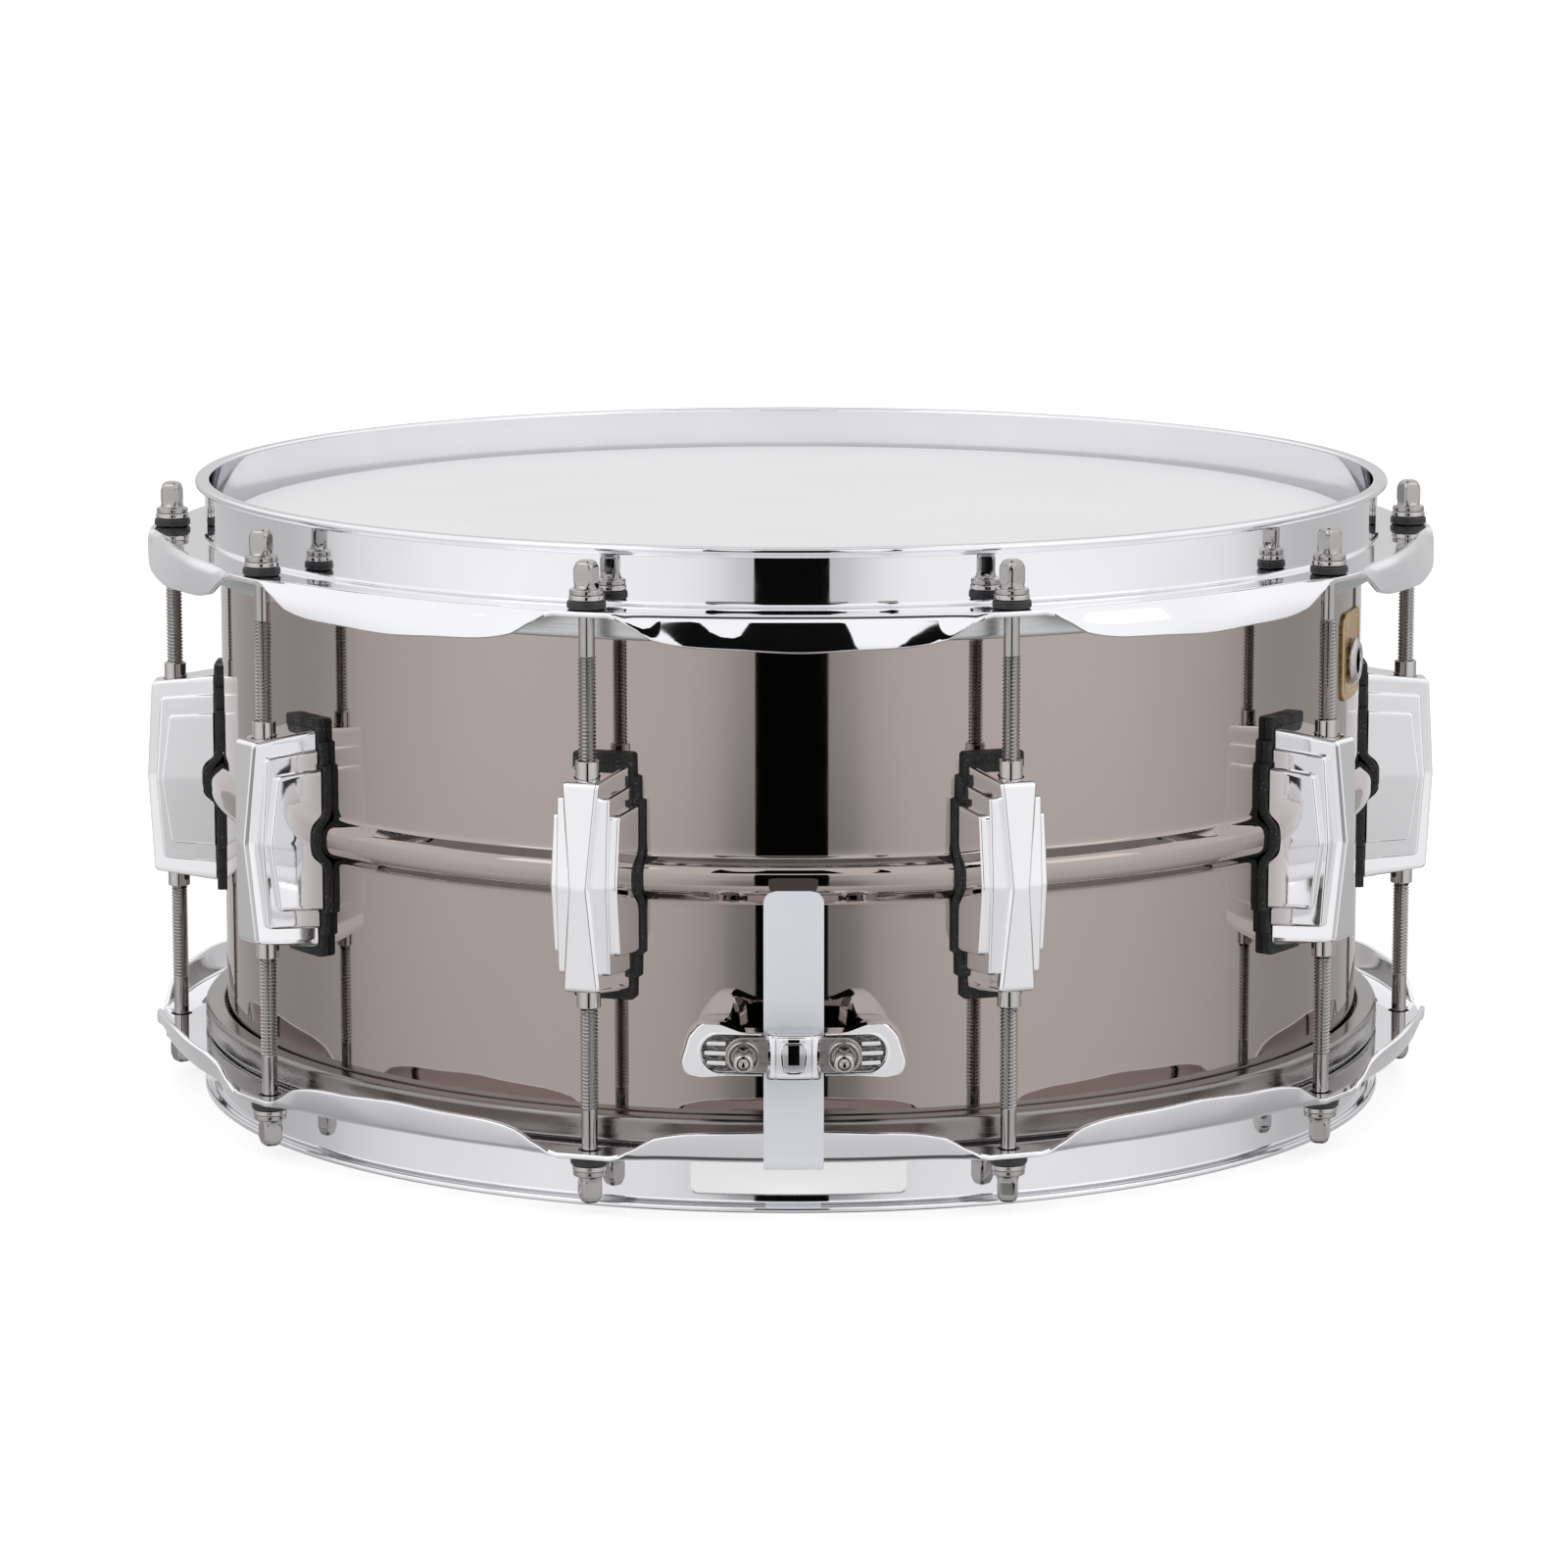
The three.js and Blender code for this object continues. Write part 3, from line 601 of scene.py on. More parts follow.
def make_heads():
    thick = 0.3
    film = rounded([
        (0, FILM_TOP), (EDGE_R - 3, FILM_TOP), (EDGE_R + 0.6, FILM_TOP, 2.5),
        (SHELL_R + 0.8, FILM_TOP - 4.4, 2.0), (SHELL_R + 0.8, FLESH_HIGH - 2),
        (SHELL_R + 0.5, FLESH_HIGH - 2), (SHELL_R + 0.5, FILM_TOP - 4.6, 1.8),
        (EDGE_R + 0.4, FILM_TOP - thick, 2.2), (EDGE_R - 3, FILM_TOP - thick),
        (0, FILM_TOP - thick)], closed=False)
    flesh = rounded([
        (SHELL_R + 0.7, FLESH_LOW, 0.8), (184.7, FLESH_LOW, 1.6), (184.7, FLESH_HIGH, 1.2),
        (181.6, FLESH_HIGH, 0.5), (181.2, FLESH_HIGH - 1.2, 0.3), (SHELL_R + 0.7, FLESH_HIGH - 1.2, 0.3)])
    top = lathe(film)
    ring = lathe(flesh)
    piece("batter_head", top, "coated_film", replaces=["batter_head_film"])
    piece("batter_crimp_ring", ring, "aluminium", replaces=["batter_flesh_hoop"])
    piece("resonant_head", turned_over(top), "clear_film", replaces=["resonant_head_film"])
    # The lower ring gets a darker copy of the ring metal: painted shade and a painted reflection of the dark
    # shell.
    piece("resonant_crimp_ring", turned_over(ring), "aluminium", replaces=["resonant_flesh_hoop"],
          material=CRIMP_STEEL_PAINTED_SHADE)


# ------------------------------------------------------------------ lugs
def slab(half, outline_at, lift, front_round, side_round):
    """One step of a lug. outline_at(share, in_x, in_r) is its plan at a share of the way from the lug's
    middle to the slab's end. Its ends are rounded as seen from the front and, more, as seen from the
    side, and rise by lift towards the shell."""
    rises = [0.0, 1.2, *(half - side_round * (1 - math.sin(math.pi / 2 * k / 8)) for k in range(9))]

    def inset(rise, radius):
        past = max(abs(rise) - half + radius, 0)
        return radius - math.sqrt(max(radius ** 2 - past ** 2, 0))

    stations = [-rise for rise in reversed(rises)] + rises[1:]
    outlines = [(rise, outline_at(abs(rise) / half, inset(rise, front_round), inset(rise, side_round)))
                for rise in stations]
    far = max(r for _, r in outlines[0][1])
    near = min(r for _, r in outlines[0][1])

    def height(rise, r):
        near_end = max(0, (abs(rise) - half + 5) / 5)
        return MID + rise + math.copysign(lift * near_end * (max(far - r, 0) / (far - near)) ** 2, rise)

    return loft([[(x, -r, height(rise, r)) for x, r in outline] for rise, outline in outlines])


def between(end, middle, share):
    return middle + (end - middle) * share


def lug_shape():
    """Three steps: a waisted face, a step whose two facets meet the waist, and a broad base."""
    back = SHELL_R + 2.9

    def face(share, in_x, in_r):
        flat, edge = between(4.8, 2.3, share), between(5.5, 3.1, share)
        out = between(200.2, 202.2, share) - in_r
        shoulder = out - between(0.9, 1.1, share)
        return rounded(mirrored([
            (8.1 - in_x, back), (edge - in_x, shoulder, 0.5), (flat - in_x, out, 0.7)]), 4)

    def step(share, in_x, in_r):
        edge = between(5.3, 2.9, share)
        out = between(197.7, 199.6, share) - in_r
        corner = out - 0.6
        return rounded(mirrored([(9.0 - in_x, back), (7.75 - in_x, corner, 0.8), (edge - 0.9, out)]), 5)

    def base(share, in_x, in_r):
        out = between(194.9, 197.7, share) - in_r
        corner = out - 0.4
        return rounded(mirrored([(11.0 - in_x, back), (9.9 - in_x, corner, 0.8), (6.9 - in_x, out)]), 5)

    lug = joined(
        slab(LUG_HALF, face, 2.3, 0.9, 1.8), slab(25.6, step, 1.2, 0.7, 1.5), slab(20.3, base, 0.8, 0.7, 1.6))
    bores = [cylinder(NUT_R + 0.35, low, high, 32, -ROD_CIRCLE)
             for low, high in ((MID + 22, HEIGHT), (0, MID - 22))]
    return cut(lug, *bores, core(2.7))


def gasket_shape():
    """Rubber under each lug. Its sides step in where the lug's do, and it swells over the bead."""
    steps = [(0, 11.8), (22.0, 11.8), (22.4, 10.6), (28.8, 10.5), (29.2, 9.2), (35.0, 9.1), (35.6, 8.5)]
    rises = [rise for rise, _ in steps] + list(np.arange(1, 14, 1.0))
    rises = sorted({sign * rise for sign in (-1, 1) for rise in rises})
    bead = [(0, 4.1), (2.5, 3.9), (4.5, 2.7), (6.5, 0.9), (8.5, 0.1), (9.5, 0), (60, 0)]

    def ring(rise):
        half = np.interp(abs(rise), *zip(*steps))
        inner = SHELL_R + 0.1 + along(bead, abs(rise))
        outer = SHELL_R + 2.75 + along(bead, abs(rise) * 0.93)
        soft = 0.8
        profile = [(half, inner), (half, outer - soft), (half - soft * 0.35, outer - soft * 0.3)]
        profile += [(half - soft, outer), (half * 0.6, outer), (half * 0.2, outer)]
        profile = [*profile, *((-t, r) for t, r in reversed(profile))]
        profile += [(-half * 0.4, inner), (half * 0.4, inner)]
        return [at_angle(r, math.degrees(t / SHELL_R), MID + rise) for t, r in profile]

    return loft([ring(rise) for rise in rises])


def nut_shape():
    start, end = MID + 24, MID + NUT_REACH
    collar = rounded([(2.75, start), (NUT_R, start), (NUT_R, end, 0.7), (2.95, end, 0.2), (2.75, end - 0.4)])
    return lathe(collar, 40, 0, -ROD_CIRCLE)


def screw_shape(z):
    """A lug's mounting screw: a washer and a domed head inside the shell."""
    wall = SHELL_R - SHELL_WALL
    seat, end = wall - 1.1, wall - 4.2
    washer = rounded([(2.4, wall), (5.5, wall, 0.2), (5.5, seat, 0.2), (2.4, seat)])
    head = rounded([(0, seat), (3.9, seat), (3.9, seat - 1.5, 0.8), (2.2, end, 0.9), (0, end)])
    return outward(washer, 0, z), outward(head, 0, z)


def make_lugs():
    lug = mesh_of("lug_casting", lug_shape())
    gasket = mesh_of("lug_gasket", gasket_shape())
    nuts = {"top": nut_shape(), "bottom": spun(turned_over(nut_shape()), 180)}
    nuts = {end: mesh_of("swivel_nut", shape) for end, shape in nuts.items()}
    screws = {end: [mesh_of("lug_screw", part) for part in screw_shape(MID + rise)]
              for end, rise in (("top", 18), ("bottom", -18))}
    for number, angle in numbered():
        piece(f"lug_casting_{number}", lug, "chrome", replaces=[f"lug_{number}"], turn=angle,
              material=CAST_CHROME)
        piece(f"gasket_{number}", gasket, "rubber", replaces=[f"lug_gasket_{number}"], turn=angle)
        for end in ("top", "bottom"):
            piece(f"swivel_nut_{end}_{number}", nuts[end], "nickel", turn=angle)
            washer, head = screws[end]
            piece(f"lug_screw_washer_{end}_{number}", washer, "steel", turn=angle)
            piece(f"lug_screw_{end}_{number}", head, "steel", turn=angle)


# ------------------------------------------------------------------ tension rods
def square(half, corner, z, count=48):
    """A square seen from above with its corners cut by a circle, as a ring of points."""
    ring = []
    for a in full_turn(count):
        r = min(half / max(abs(math.cos(a)), abs(math.sin(a))), corner)
        ring.append((r * math.cos(a), r * math.sin(a), z))
    return ring


def head_shape(foot):
    """The square key head that stands on a rod's flange, with its rounded nose."""
    half, corner = ROD_HEAD / 2, 3.7
    levels = [(4.1, 4.1, 0), (3.6, 3.6, 0.35), (3.25, 3.5, 0.9), (half, 3.6, 1.7),
              (half, corner, 2.4), (half, corner, 5.6), (half - 0.1, 3.4, 6.5), (half - 0.35, 3.0, 7.3),
              (half - 0.8, 2.5, 7.9), (half - 1.5, 1.7, 8.25), (0.4, 0.4, 8.35)]
    return loft([square(h, c, foot + z) for h, c, z in levels])


def threaded(low, high, outer=2.66, root=2.08, count=24):
    """A rod from low to high with a helical thread cut into it."""
    steps = int((high - low) / THREAD_PITCH * 6)
    sections = []
    for k in range(steps + 1):
        z = low + (high - low) * k / steps
        ring = []
        for j, a in enumerate(full_turn(count)):
            turn = z / THREAD_PITCH - j / count
            ridge = abs(2 * (turn % 1) - 1)
            fade = min(1, (z - low) / 1.2, (high - z) / 0.8)
            r = root + (outer - root) * ridge * max(fade, 0)
            ring.append((r * math.cos(a), r * math.sin(a), z))
        sections.append(ring)
    return loft(sections)


def make_rods():
    """Rods, flanges and washers are drawn on their own axis, and placed on the rod circle."""
    flange_low, flange_high = HEIGHT - 12.9, HEIGHT - 11.3
    thread_end, bush_low, bush_high, gap = 161, 174.45, 177.03, 0.03
    flange = rounded([(0, flange_low), (4.9, flange_low, 0.3), (4.9, flange_high, 0.5), (0, flange_high)],
                     closed=False)
    rod = together(
        threaded(flange_low - 63.5, thread_end + 0.5),
        cylinder(2.3, thread_end, flange_low),
        lathe(flange, 48),
        head_shape(flange_high - 0.1))
    low, high = bush_high + 0.02, flange_low - gap
    steel = rounded([(2.6, low, 0.1), (5.15, low, 0.35), (5.1, high, 0.35), (2.6, high, 0.1)])
    nylon = rounded([(2.6, bush_low, 0.2), (5.65, bush_low, 0.9), (5.5, bush_high, 0.8),
                     (2.6, bush_high, 0.2)])
    parts = {"rod": rod, "rod_washer": lathe(steel, 48), "rod_bush": lathe(nylon, 48)}
    placed = {}
    for name, shape in parts.items():
        for end, other in (("top", shape), ("bottom", turned_over(shape))):
            placed[name, end] = mesh_of(f"{name}_{end}", other)
    for i, (number, angle) in enumerate(numbered()):
        for end in ("top", "bottom"):
            body = f"rod_{end}_{number}"
            yaw = angle + 47 * i + (20 if end == "top" else 65)
            made = [
                piece(f"tension_{end}_{number}", placed["rod", end], "nickel", "drum",
                      [f"tension_rod_{end}_{number}"], smooth=30, material=ROD_NICKEL),
                piece(f"washer_{end}_{number}", placed["rod_washer", end], "nickel"),
                piece(f"bush_{end}_{number}", placed["rod_bush", end], "nickel", material=NYLON)]
            for each in made:
                each.location = Vector(at_angle(ROD_CIRCLE, angle, 0)) * MM
                each.rotation_euler.z = math.radians(yaw)
                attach(each, body)


# ------------------------------------------------------------------ badge and vent
def make_badge():
    low, high = 128, 155
    half = 12.2
    centre = (low + high) / 2
    rim = [(0.0, 0.1), (0.0, 0.75), (0.25, 0.95), (0.9, 0.95), (1.15, 0.75), (2.2, 0.72), (2.4, 0.85),
           (2.7, 0.85), (2.9, 0.7)]
    count = 96

    def loop(inset, depth):
        ring = []
        w, h, corner = half - inset, (high - low) / 2 - inset, max(4 - inset, 1)
        for a in full_turn(count):
            c, s = abs(math.cos(a)), abs(math.sin(a))
            r = min(w / max(c, 1e-9), h / max(s, 1e-9))
            x, y = r * c, r * s
            if x > w - corner and y > h - corner:
                px, py = w - corner, h - corner
                along_ray = c * px + s * py
                r = along_ray + math.sqrt(max(corner ** 2 - (px * px + py * py - along_ray ** 2), 0))
            ring.append((r * math.cos(a), centre + r * math.sin(a), depth))
        return ring

    def round_loop(radius, depth):
        return [(x, VENT_Z + y, depth) for x, y in circle(radius, count=count)]

    inner = [round_loop(7.9, 0.7), round_loop(7.7, 0.55), round_loop(5.3, 0.55), round_loop(5.3, 0.1)]
    loops = [loop(inset, depth) for inset, depth in rim] + inner
    bent = [[at_angle(SHELL_R + depth, math.degrees(x / SHELL_R), z) for x, z, depth in ring]
            for ring in loops]
    piece("badge_plate", loft(bent, around=True), "brass", replaces=["badge"], turn=VENT_TURN)
    grommet = rounded([
        (4.0, -4.4, 0.2), (4.5, -4.4, 0.2), (4.6, 1.3), (7.2, 1.3, 0.3), (7.2, 1.9, 0.6),
        (5.6, 3.1, 1.2), (4.0, 3.1, 1.4)])
    piece("vent_eyelet", outward([(r, SHELL_R + z) for r, z in grommet], 0, VENT_Z, 64), "nickel",
          replaces=["vent_grommet"], turn=VENT_TURN)


# ------------------------------------------------------------------ straps, clamps and butt plate
def strap_shape(top):
    """A plastic strip: down the front, round the lower hoop's shelf and in through the snare gate."""
    half, corner, thick, outer = 8.5, 3.5, 0.3, 200.6
    bends = rounded([(outer, top), (outer, 16.9, 5.0), (174.5, WIRE_Z, 15), (157.6, WIRE_Z)], 10,
                    closed=False)
    route = [*((outer, top - k / 2) for k in range(8)), (outer, top - 10), (outer, 40), *bends[1:]]
    line = np.array(route)
    ways = np.gradient(line, axis=0)
    ways /= np.linalg.norm(ways, axis=1)[:, None]
    aside = np.stack([-ways[:, 1], ways[:, 0]], axis=1)
    sections = []
    for (r, z), (nr, nz) in zip(line, aside):
        drop = max(0, corner - (top - z)) if r > 200 else 0
        width = half - corner + math.sqrt(max(corner ** 2 - drop ** 2, 0))
        outline = plate_outline(width, -thick, thick, 0.12, 2)
        sections.append([(x, -(r - nr * d), z - nz * d) for x, d in outline])
    return loft(sections)


def key_screw(x, z):
    """A clamp screw: a deep cupped flange, and a square nose with a dimple and a notch above it."""
    cup = rounded([
        (0, 203.0), (4.5, 203.0), (4.6, 205.2, 0.3), (4.2, 205.7, 0.35), (3.9, 205.2, 0.3), (3.4, 204.0, 0.8),
        (0, 203.8)], closed=False)
    levels = [(2.9, 3.0, 203.9), (2.5, 2.8, 204.6), (2.55, 3.0, 205.6), (2.6, 3.1, 209.6),
              (2.75, 3.1, 211.2), (2.85, 3.0, 212.4), (2.8, 2.85, 213.2), (2.5, 2.55, 213.75),
              (2.1, 2.1, 214.0), (1.6, 1.6, 213.95), (1.4, 1.4, 213.6), (1.3, 1.3, 212.2), (0.2, 0.2, 212.0)]
    nose = loft([square(h, c, level) for h, c, level in levels])
    slit = ((-0.3, 1.0), (0.3, 1.0), (0.3, 2.1), (-0.3, 2.1))
    notch = loft([[(px, py, pz) for px, py in slit] for pz in (213.2, 215)])
    nose = moved(cut(nose, notch), lambda px, py, pz: (px + x, -pz, py + z))
    return together(outward(cup, x, z, 48), nose)


def clamp_pieces(name, half, body, slot_node, turn):
    """A clamp: its bar, the raised middle block with a plain raised border, and two key screws."""
    bar = front(plate_outline(half, 45.2, 55.4, 4.9, 8), 201.25, 203.1)
    piece(f"{name}_bar", bar, "chrome", body, [slot_node], 0.35, turn, CAST_GRAIN_FINE)
    low, high, out = 44.4, 57.8, 211.0
    centre = (low + high) / 2
    waist = [(low, 7.9), (centre - 2.5, 7.4), (centre, 7.35), (centre + 2.5, 7.4), (high, 7.9)]
    end_r = 1.6
    quarter = [math.pi / 12 * k for k in range(7)]
    ends = [(end_r * (1 - math.sin(a)), end_r * (1 - math.cos(a))) for a in quarter]
    levels = [(low + away, inset) for away, inset in reversed(ends)]
    levels += [(low + 2.6 + 1.16 * k, 0) for k in range(8)]
    levels += [(high - away, inset) for away, inset in ends]

    def crown(x, z):
        return out - x * x / 60 - (z - centre) ** 2 / 110

    groove = [(5.3, 0), (5.14, 0.5), (4.98, 0.5), (4.82, 0)]
    sections = []
    for z, inset in levels:
        w = along(waist, z) - inset * 0.6
        outline = [(w, 200.95), (w, crown(w, z) - inset - 1.2, 1.2)]
        outline += [(x, crown(x, z) - inset - sunk, 0.1) for x, sunk in
                    ((w - 0.9, 0), (6.4, 0), *groove, (3.2, 0), (1.6, 0), (0.4, 0))]
        sections.append([(x, -r, z) for x, r in rounded(mirrored(outline), 3)])
    piece(f"{name}_block", loft(sections), "chrome", body, turn=turn)

    border = []
    for a in full_turn(96):
        half_wide, half_tall = 3.3 + 0.3 * math.sin(a), 4.2
        r = (abs(math.cos(a) / half_wide) ** 6 + abs(math.sin(a) / half_tall) ** 6) ** (-1 / 6)
        ring = []
        for b in full_turn(8):
            x = (r + 0.3 * math.cos(b)) * math.cos(a)
            z = centre + (r + 0.3 * math.cos(b)) * math.sin(a)
            ring.append((x, -min(crown(x, z) + 0.02 + 0.26 * math.sin(b), out), z))
        border.append(ring)
    piece(f"{name}_border", loft(border, around=True), "chrome", body, turn=turn)
    for label, x in (("left", -SCREW_X), ("right", SCREW_X)):
        piece(f"{name}_screw_{label}", key_screw(x, CLAMP_Z), "nickel", body, turn=turn)


def butt_outline(share):
    """The casting's outline: a share of 0 is its front face, 1 is where it meets the shell."""
    ends = zip(
        [(14.5, 44.2, 20), (19, 44.1, 20), (26.7, 43.3, 6), (30.6, 43.9, 2.6), (31.7, 47.4, 3),
         (29.4, 55.2, 5), (26.2, 58.9, 3.4), (21.0, 58.9, 5), (14.5, 56.6, 10), (9, 56.6, 10)],
        [(14.5, 45.2, 20), (19, 45.2, 20), (25.2, 44.4, 6), (28.6, 44.8, 2.6), (30.2, 47.6, 4),
         (28.2, 53.2, 6), (24.6, 56.2, 5), (19.0, 56.4, 5), (14.5, 56.4, 10), (9, 56.4, 10)])
    corners = [tuple(between(near, far, 1 - share) for near, far in zip(*pair)) for pair in ends]
    return rounded(mirrored(corners), 6)


def make_butt():
    """The butt casting: a face with sunk panels, and a hollow behind it down to the shell."""
    stations = [(174, 1, 1), (180, 0.94, 1), (185, 0.75, 1.02), (190, 0.45, 1.035), (195, 0.16, 1.03),
                (199, 0.03, 1.016), (202, 0, 1.003), (202.6, 0, 0.997), (202.9, 0, 0.98)]
    middle_z = 51
    sections = [[(x * grow, -r, middle_z + (z - middle_z) * grow) for x, z in butt_outline(share)]
                for r, share, grow in stations]
    trough = ((-1, 1), (1, 1), (1.06, -0.75), (0.95, -1), (-0.95, -1), (-1.06, -0.75))
    hollow = loft([[(x * wide, -183 + y * 13.6, z) for x, y in trough]
                   for z, wide in ((47.5, 16.4), (55, 17.2), (61, 20))])
    sunk = plate_outline(26.2, 44.9, 56.0, 5.4, 8)
    rim = plate_outline(27.3, 44.5, 56.5, 6, 8)
    channel = plan([(-8.9, 199.9), (8.9, 199.9), (8.9, 206), (-8.9, 206)], 40, 62)
    casting = cut(loft(sections), hollow, front(sunk, 200.8, 206), channel)
    piece("butt_casting", cut(bowed(casting, WING_BOW), core(0.25)), "chrome", replaces=["butt_plate"],
          bevel=0.3, turn=BUTT_TURN, material=CAST_CHROME)
    rail = cut(front(rim, 202.4, 203.2), front(sunk, 202, 204), channel)
    piece("butt_rim", bowed(rail, WING_BOW), "chrome", bevel=0.3, turn=BUTT_TURN, material=CAST_CHROME)
    for label, hand in (("left", -1), ("right", 1)):
        near, far = hand * 9.2, hand * 26.0
        floor = rounded([(near, 45.1), (far, 45.1, 5.3), (far, 55.8, 5.3), (near, 55.8)], 8)
        panel = front(floor, 200.5, 201.4)
        piece(f"butt_panel_{label}", bowed(panel, WING_BOW), "chrome", material=CAST_GRAIN, turn=BUTT_TURN)
        for k, z in enumerate((53.2, 50.4, 47.6)):
            start, end = hand * 19, hand * (25.3 if k == 1 else 24.6)
            low, high = z - 0.62, z + 0.62
            outline = rounded([(start, low), (end, low, 0.6), (end, high, 0.6), (start, high)])
            rib = bowed(front(outline, 201.35, 202.5), WING_BOW)
            piece(f"butt_rib_{label}_{k + 1}", rib, "chrome", bevel=0.42, turn=BUTT_TURN)
    clamp_pieces("butt_clamp", 19.3, "drum", "butt_clamp", BUTT_TURN)
    piece("butt_strip", strap_shape(96.9), "strap_plastic", replaces=["butt_strap"], turn=BUTT_TURN)


# ------------------------------------------------------------------ snare wires
def make_snares():
    """Twenty coiled strands soldered to two end plates."""
    strands, pitch = 20, 2.05
    coil_r, wire_r, turn_length, reach = 0.72, 0.2, 1.25, 144
    turns = int(2 * reach / turn_length)
    sections = []
    for k in range(turns * 8 + 1):
        a = 2 * math.pi * k / 8
        y = -reach + 2 * reach * k / (turns * 8)
        ring = []
        for b in full_turn(4):
            r = coil_r + wire_r * math.cos(b)
            ring.append((r * math.cos(a), y + wire_r * math.sin(b), WIRE_Z + r * math.sin(a)))
        sections.append(ring)
    coil = mesh_of("snare_coil", loft(sections))
    for i in range(strands):
        strand = piece(f"snare_coil_{i + 1:02d}", coil, "steel", "snare", ["snare_wires"] if i == 0 else ())
        strand.location.x = (i - (strands - 1) / 2) * pitch * MM
        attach(strand, "snare")
    for label, turn in (("butt", 0), ("strainer", 180)):
        plate = plate_outline(22, 143, 157, 2)
        slots = []
        for x in (-14, 14):
            near, far = x + 1.6, x - 1.6
            slots.append(plan(rounded([(near, 152), (near, 154, 0.9), (far, 154, 0.9), (far, 152)]), 5, 16))
        shape = cut(plan(plate, WIRE_Z - 0.85, WIRE_Z + 0.85), *slots)
        piece(f"snare_end_{label}", shape, "steel", "snare", bevel=0.25, turn=turn)


# ------------------------------------------------------------------ strainer
def make_strainer():
    """The throw-off at the back: body, carriage, tension block, knob and lever."""
    back = 180
    cheek_in, cheek_out = 15.2, 19.0
    pivot_r, pivot_z = 192, 74
    base = front(plate_outline(19, 40, 92, 4, 6), 172, 183.5)
    body_side = rounded([(181, 44), (192, 44, 3), (196, 50, 3), (196, 80, 3), (192, 86, 3), (181, 86)])
    cheeks = [side(body_side, *ends) for ends in ((-cheek_out, -cheek_in), (cheek_in, cheek_out))]
    pivots = side([(pivot_r + y, pivot_z + z) for y, z in circle(2.9)], -25, 25)
    casting = cut(joined(base, *cheeks), pivots, core(0.4))
    piece("throwoff_body", casting, "chrome", replaces=["strainer_body"], bevel=0.5, turn=back)
    screw = rounded([(0, 183.4), (2.9, 183.4), (2.9, 184.1, 0.3), (2.0, 185.2, 0.7), (0.9, 185.3),
                     (0.8, 184.5), (0, 184.5)], closed=False)
    for label, x in (("left", -11), ("right", 11)):
        piece(f"throwoff_screw_{label}", outward(screw, x, 88), "steel", turn=back)

    half = cheek_in - 0.4
    bore = cylinder(2.9, 70, 90, 32, -pivot_r)
    slide = front(plate_outline(half, 46, 83, 1.5), 183.9, 187.4)
    lug = plan(rounded([(8, 186.5), (8, 196, 3), (-8, 196, 3), (-8, 186.5)]), 78, 83)
    carriage = cut(joined(slide, lug), bore)
    piece("throwoff_carriage", carriage, "steel", "carriage", ["strainer_carriage"], 0.4, back)

    block = plan(rounded([(14.7, 187.8, 1), (14.7, 196.4), (22, 196.4, 1), (22, 200, 1),
                          (-22, 200, 1), (-22, 196.4, 1), (-14.7, 196.4), (-14.7, 187.8, 1)]), 44, 62)
    tapped = cylinder(2.6, 40, 70, 32, -pivot_r)
    piece("tension_slider", cut(block, tapped), "chrome", "tension_block", ["strainer_block"], 0.5, back)
    clamp_pieces("strainer_clamp", 20.6, "tension_block", "strainer_clamp", back)
    piece("strainer_strip", strap_shape(68), "strap_plastic", "tension_block", ["strainer_strap"], turn=back)

    flutes = 24

    def knurl(z, r, depth):
        ring = []
        for a in full_turn(flutes * 6):
            here = r - depth * (0.5 + 0.5 * math.cos(a * flutes)) ** 2
            ring.append((here * math.cos(a), here * math.sin(a) - pivot_r, z))
        return ring

    levels = [(83.5, 5.5, 0), (83.5, 7.2, 0), (83.9, 7.6, 0.2), (84.6, 8.0, 0.6), (92.6, 8.0, 0.6),
              (93.4, 7.7, 0.3), (94.1, 7.1, 0), (94.5, 6.2, 0), (94.3, 5.2, 0), (94.1, 3.4, 0),
              (94.6, 2.6, 0), (94.9, 1.0, 0)]
    knob = loft([knurl(*level) for level in levels])
    piece("tension_knob", knob, "chrome", "knob", ["strainer_knob"], turn=back)
    shaft = moved(threaded(50.5, 84, 2.3, 1.95), lambda x, y, z: (x, y - pivot_r, z))
    piece("tension_screw", shaft, "steel", "knob", turn=back)

    outer = cheek_out + 3.4
    arm = rounded([(188, 70, 3), (194, 68.5, 3), (197.4, 72, 3), (198.6, 86, 8), (203.4, 98, 8),
                   (203.4, 122, 2), (201.9, 124, 2), (199.4, 124, 1.5), (199.4, 100, 8), (193.0, 90, 8),
                   (187, 76, 4)], 6)
    opening = plan([(-19.4, 180), (19.4, 180), (19.4, 207), (-19.4, 207)], 60, 98.5)
    fork = cut(side(arm, -outer, outer), opening)
    groove = rounded([(14, 203.0, 0.3), (14, 205), (-14, 205), (-14, 203.0, 0.3)])
    grooves = [plan(groove, z, z + 1.2) for z in (106, 110, 114, 118)]
    piece("throwoff_lever", cut(fork, *grooves), "chrome", "lever", ["strainer_lever"], 0.5, back)
    profile = rounded([(0, 15.8), (2.5, 15.8, 0.3), (2.5, 19.6), (2.5, 22.2), (3.8, 22.2), (3.8, 22.6, 0.3),
                       (2.4, 23.6, 0.9), (0, 23.6)], closed=False)
    shorter = 0.948                           # ends the pins inside the fork's outer faces
    for label, hand in (("left", -1), ("right", 1)):
        pin = moved(lathe(profile, 32), lambda x, y, z: (hand * z * shorter, y - pivot_r, x + pivot_z))
        piece(f"lever_pin_{label}", pin, "steel", "lever", turn=back)


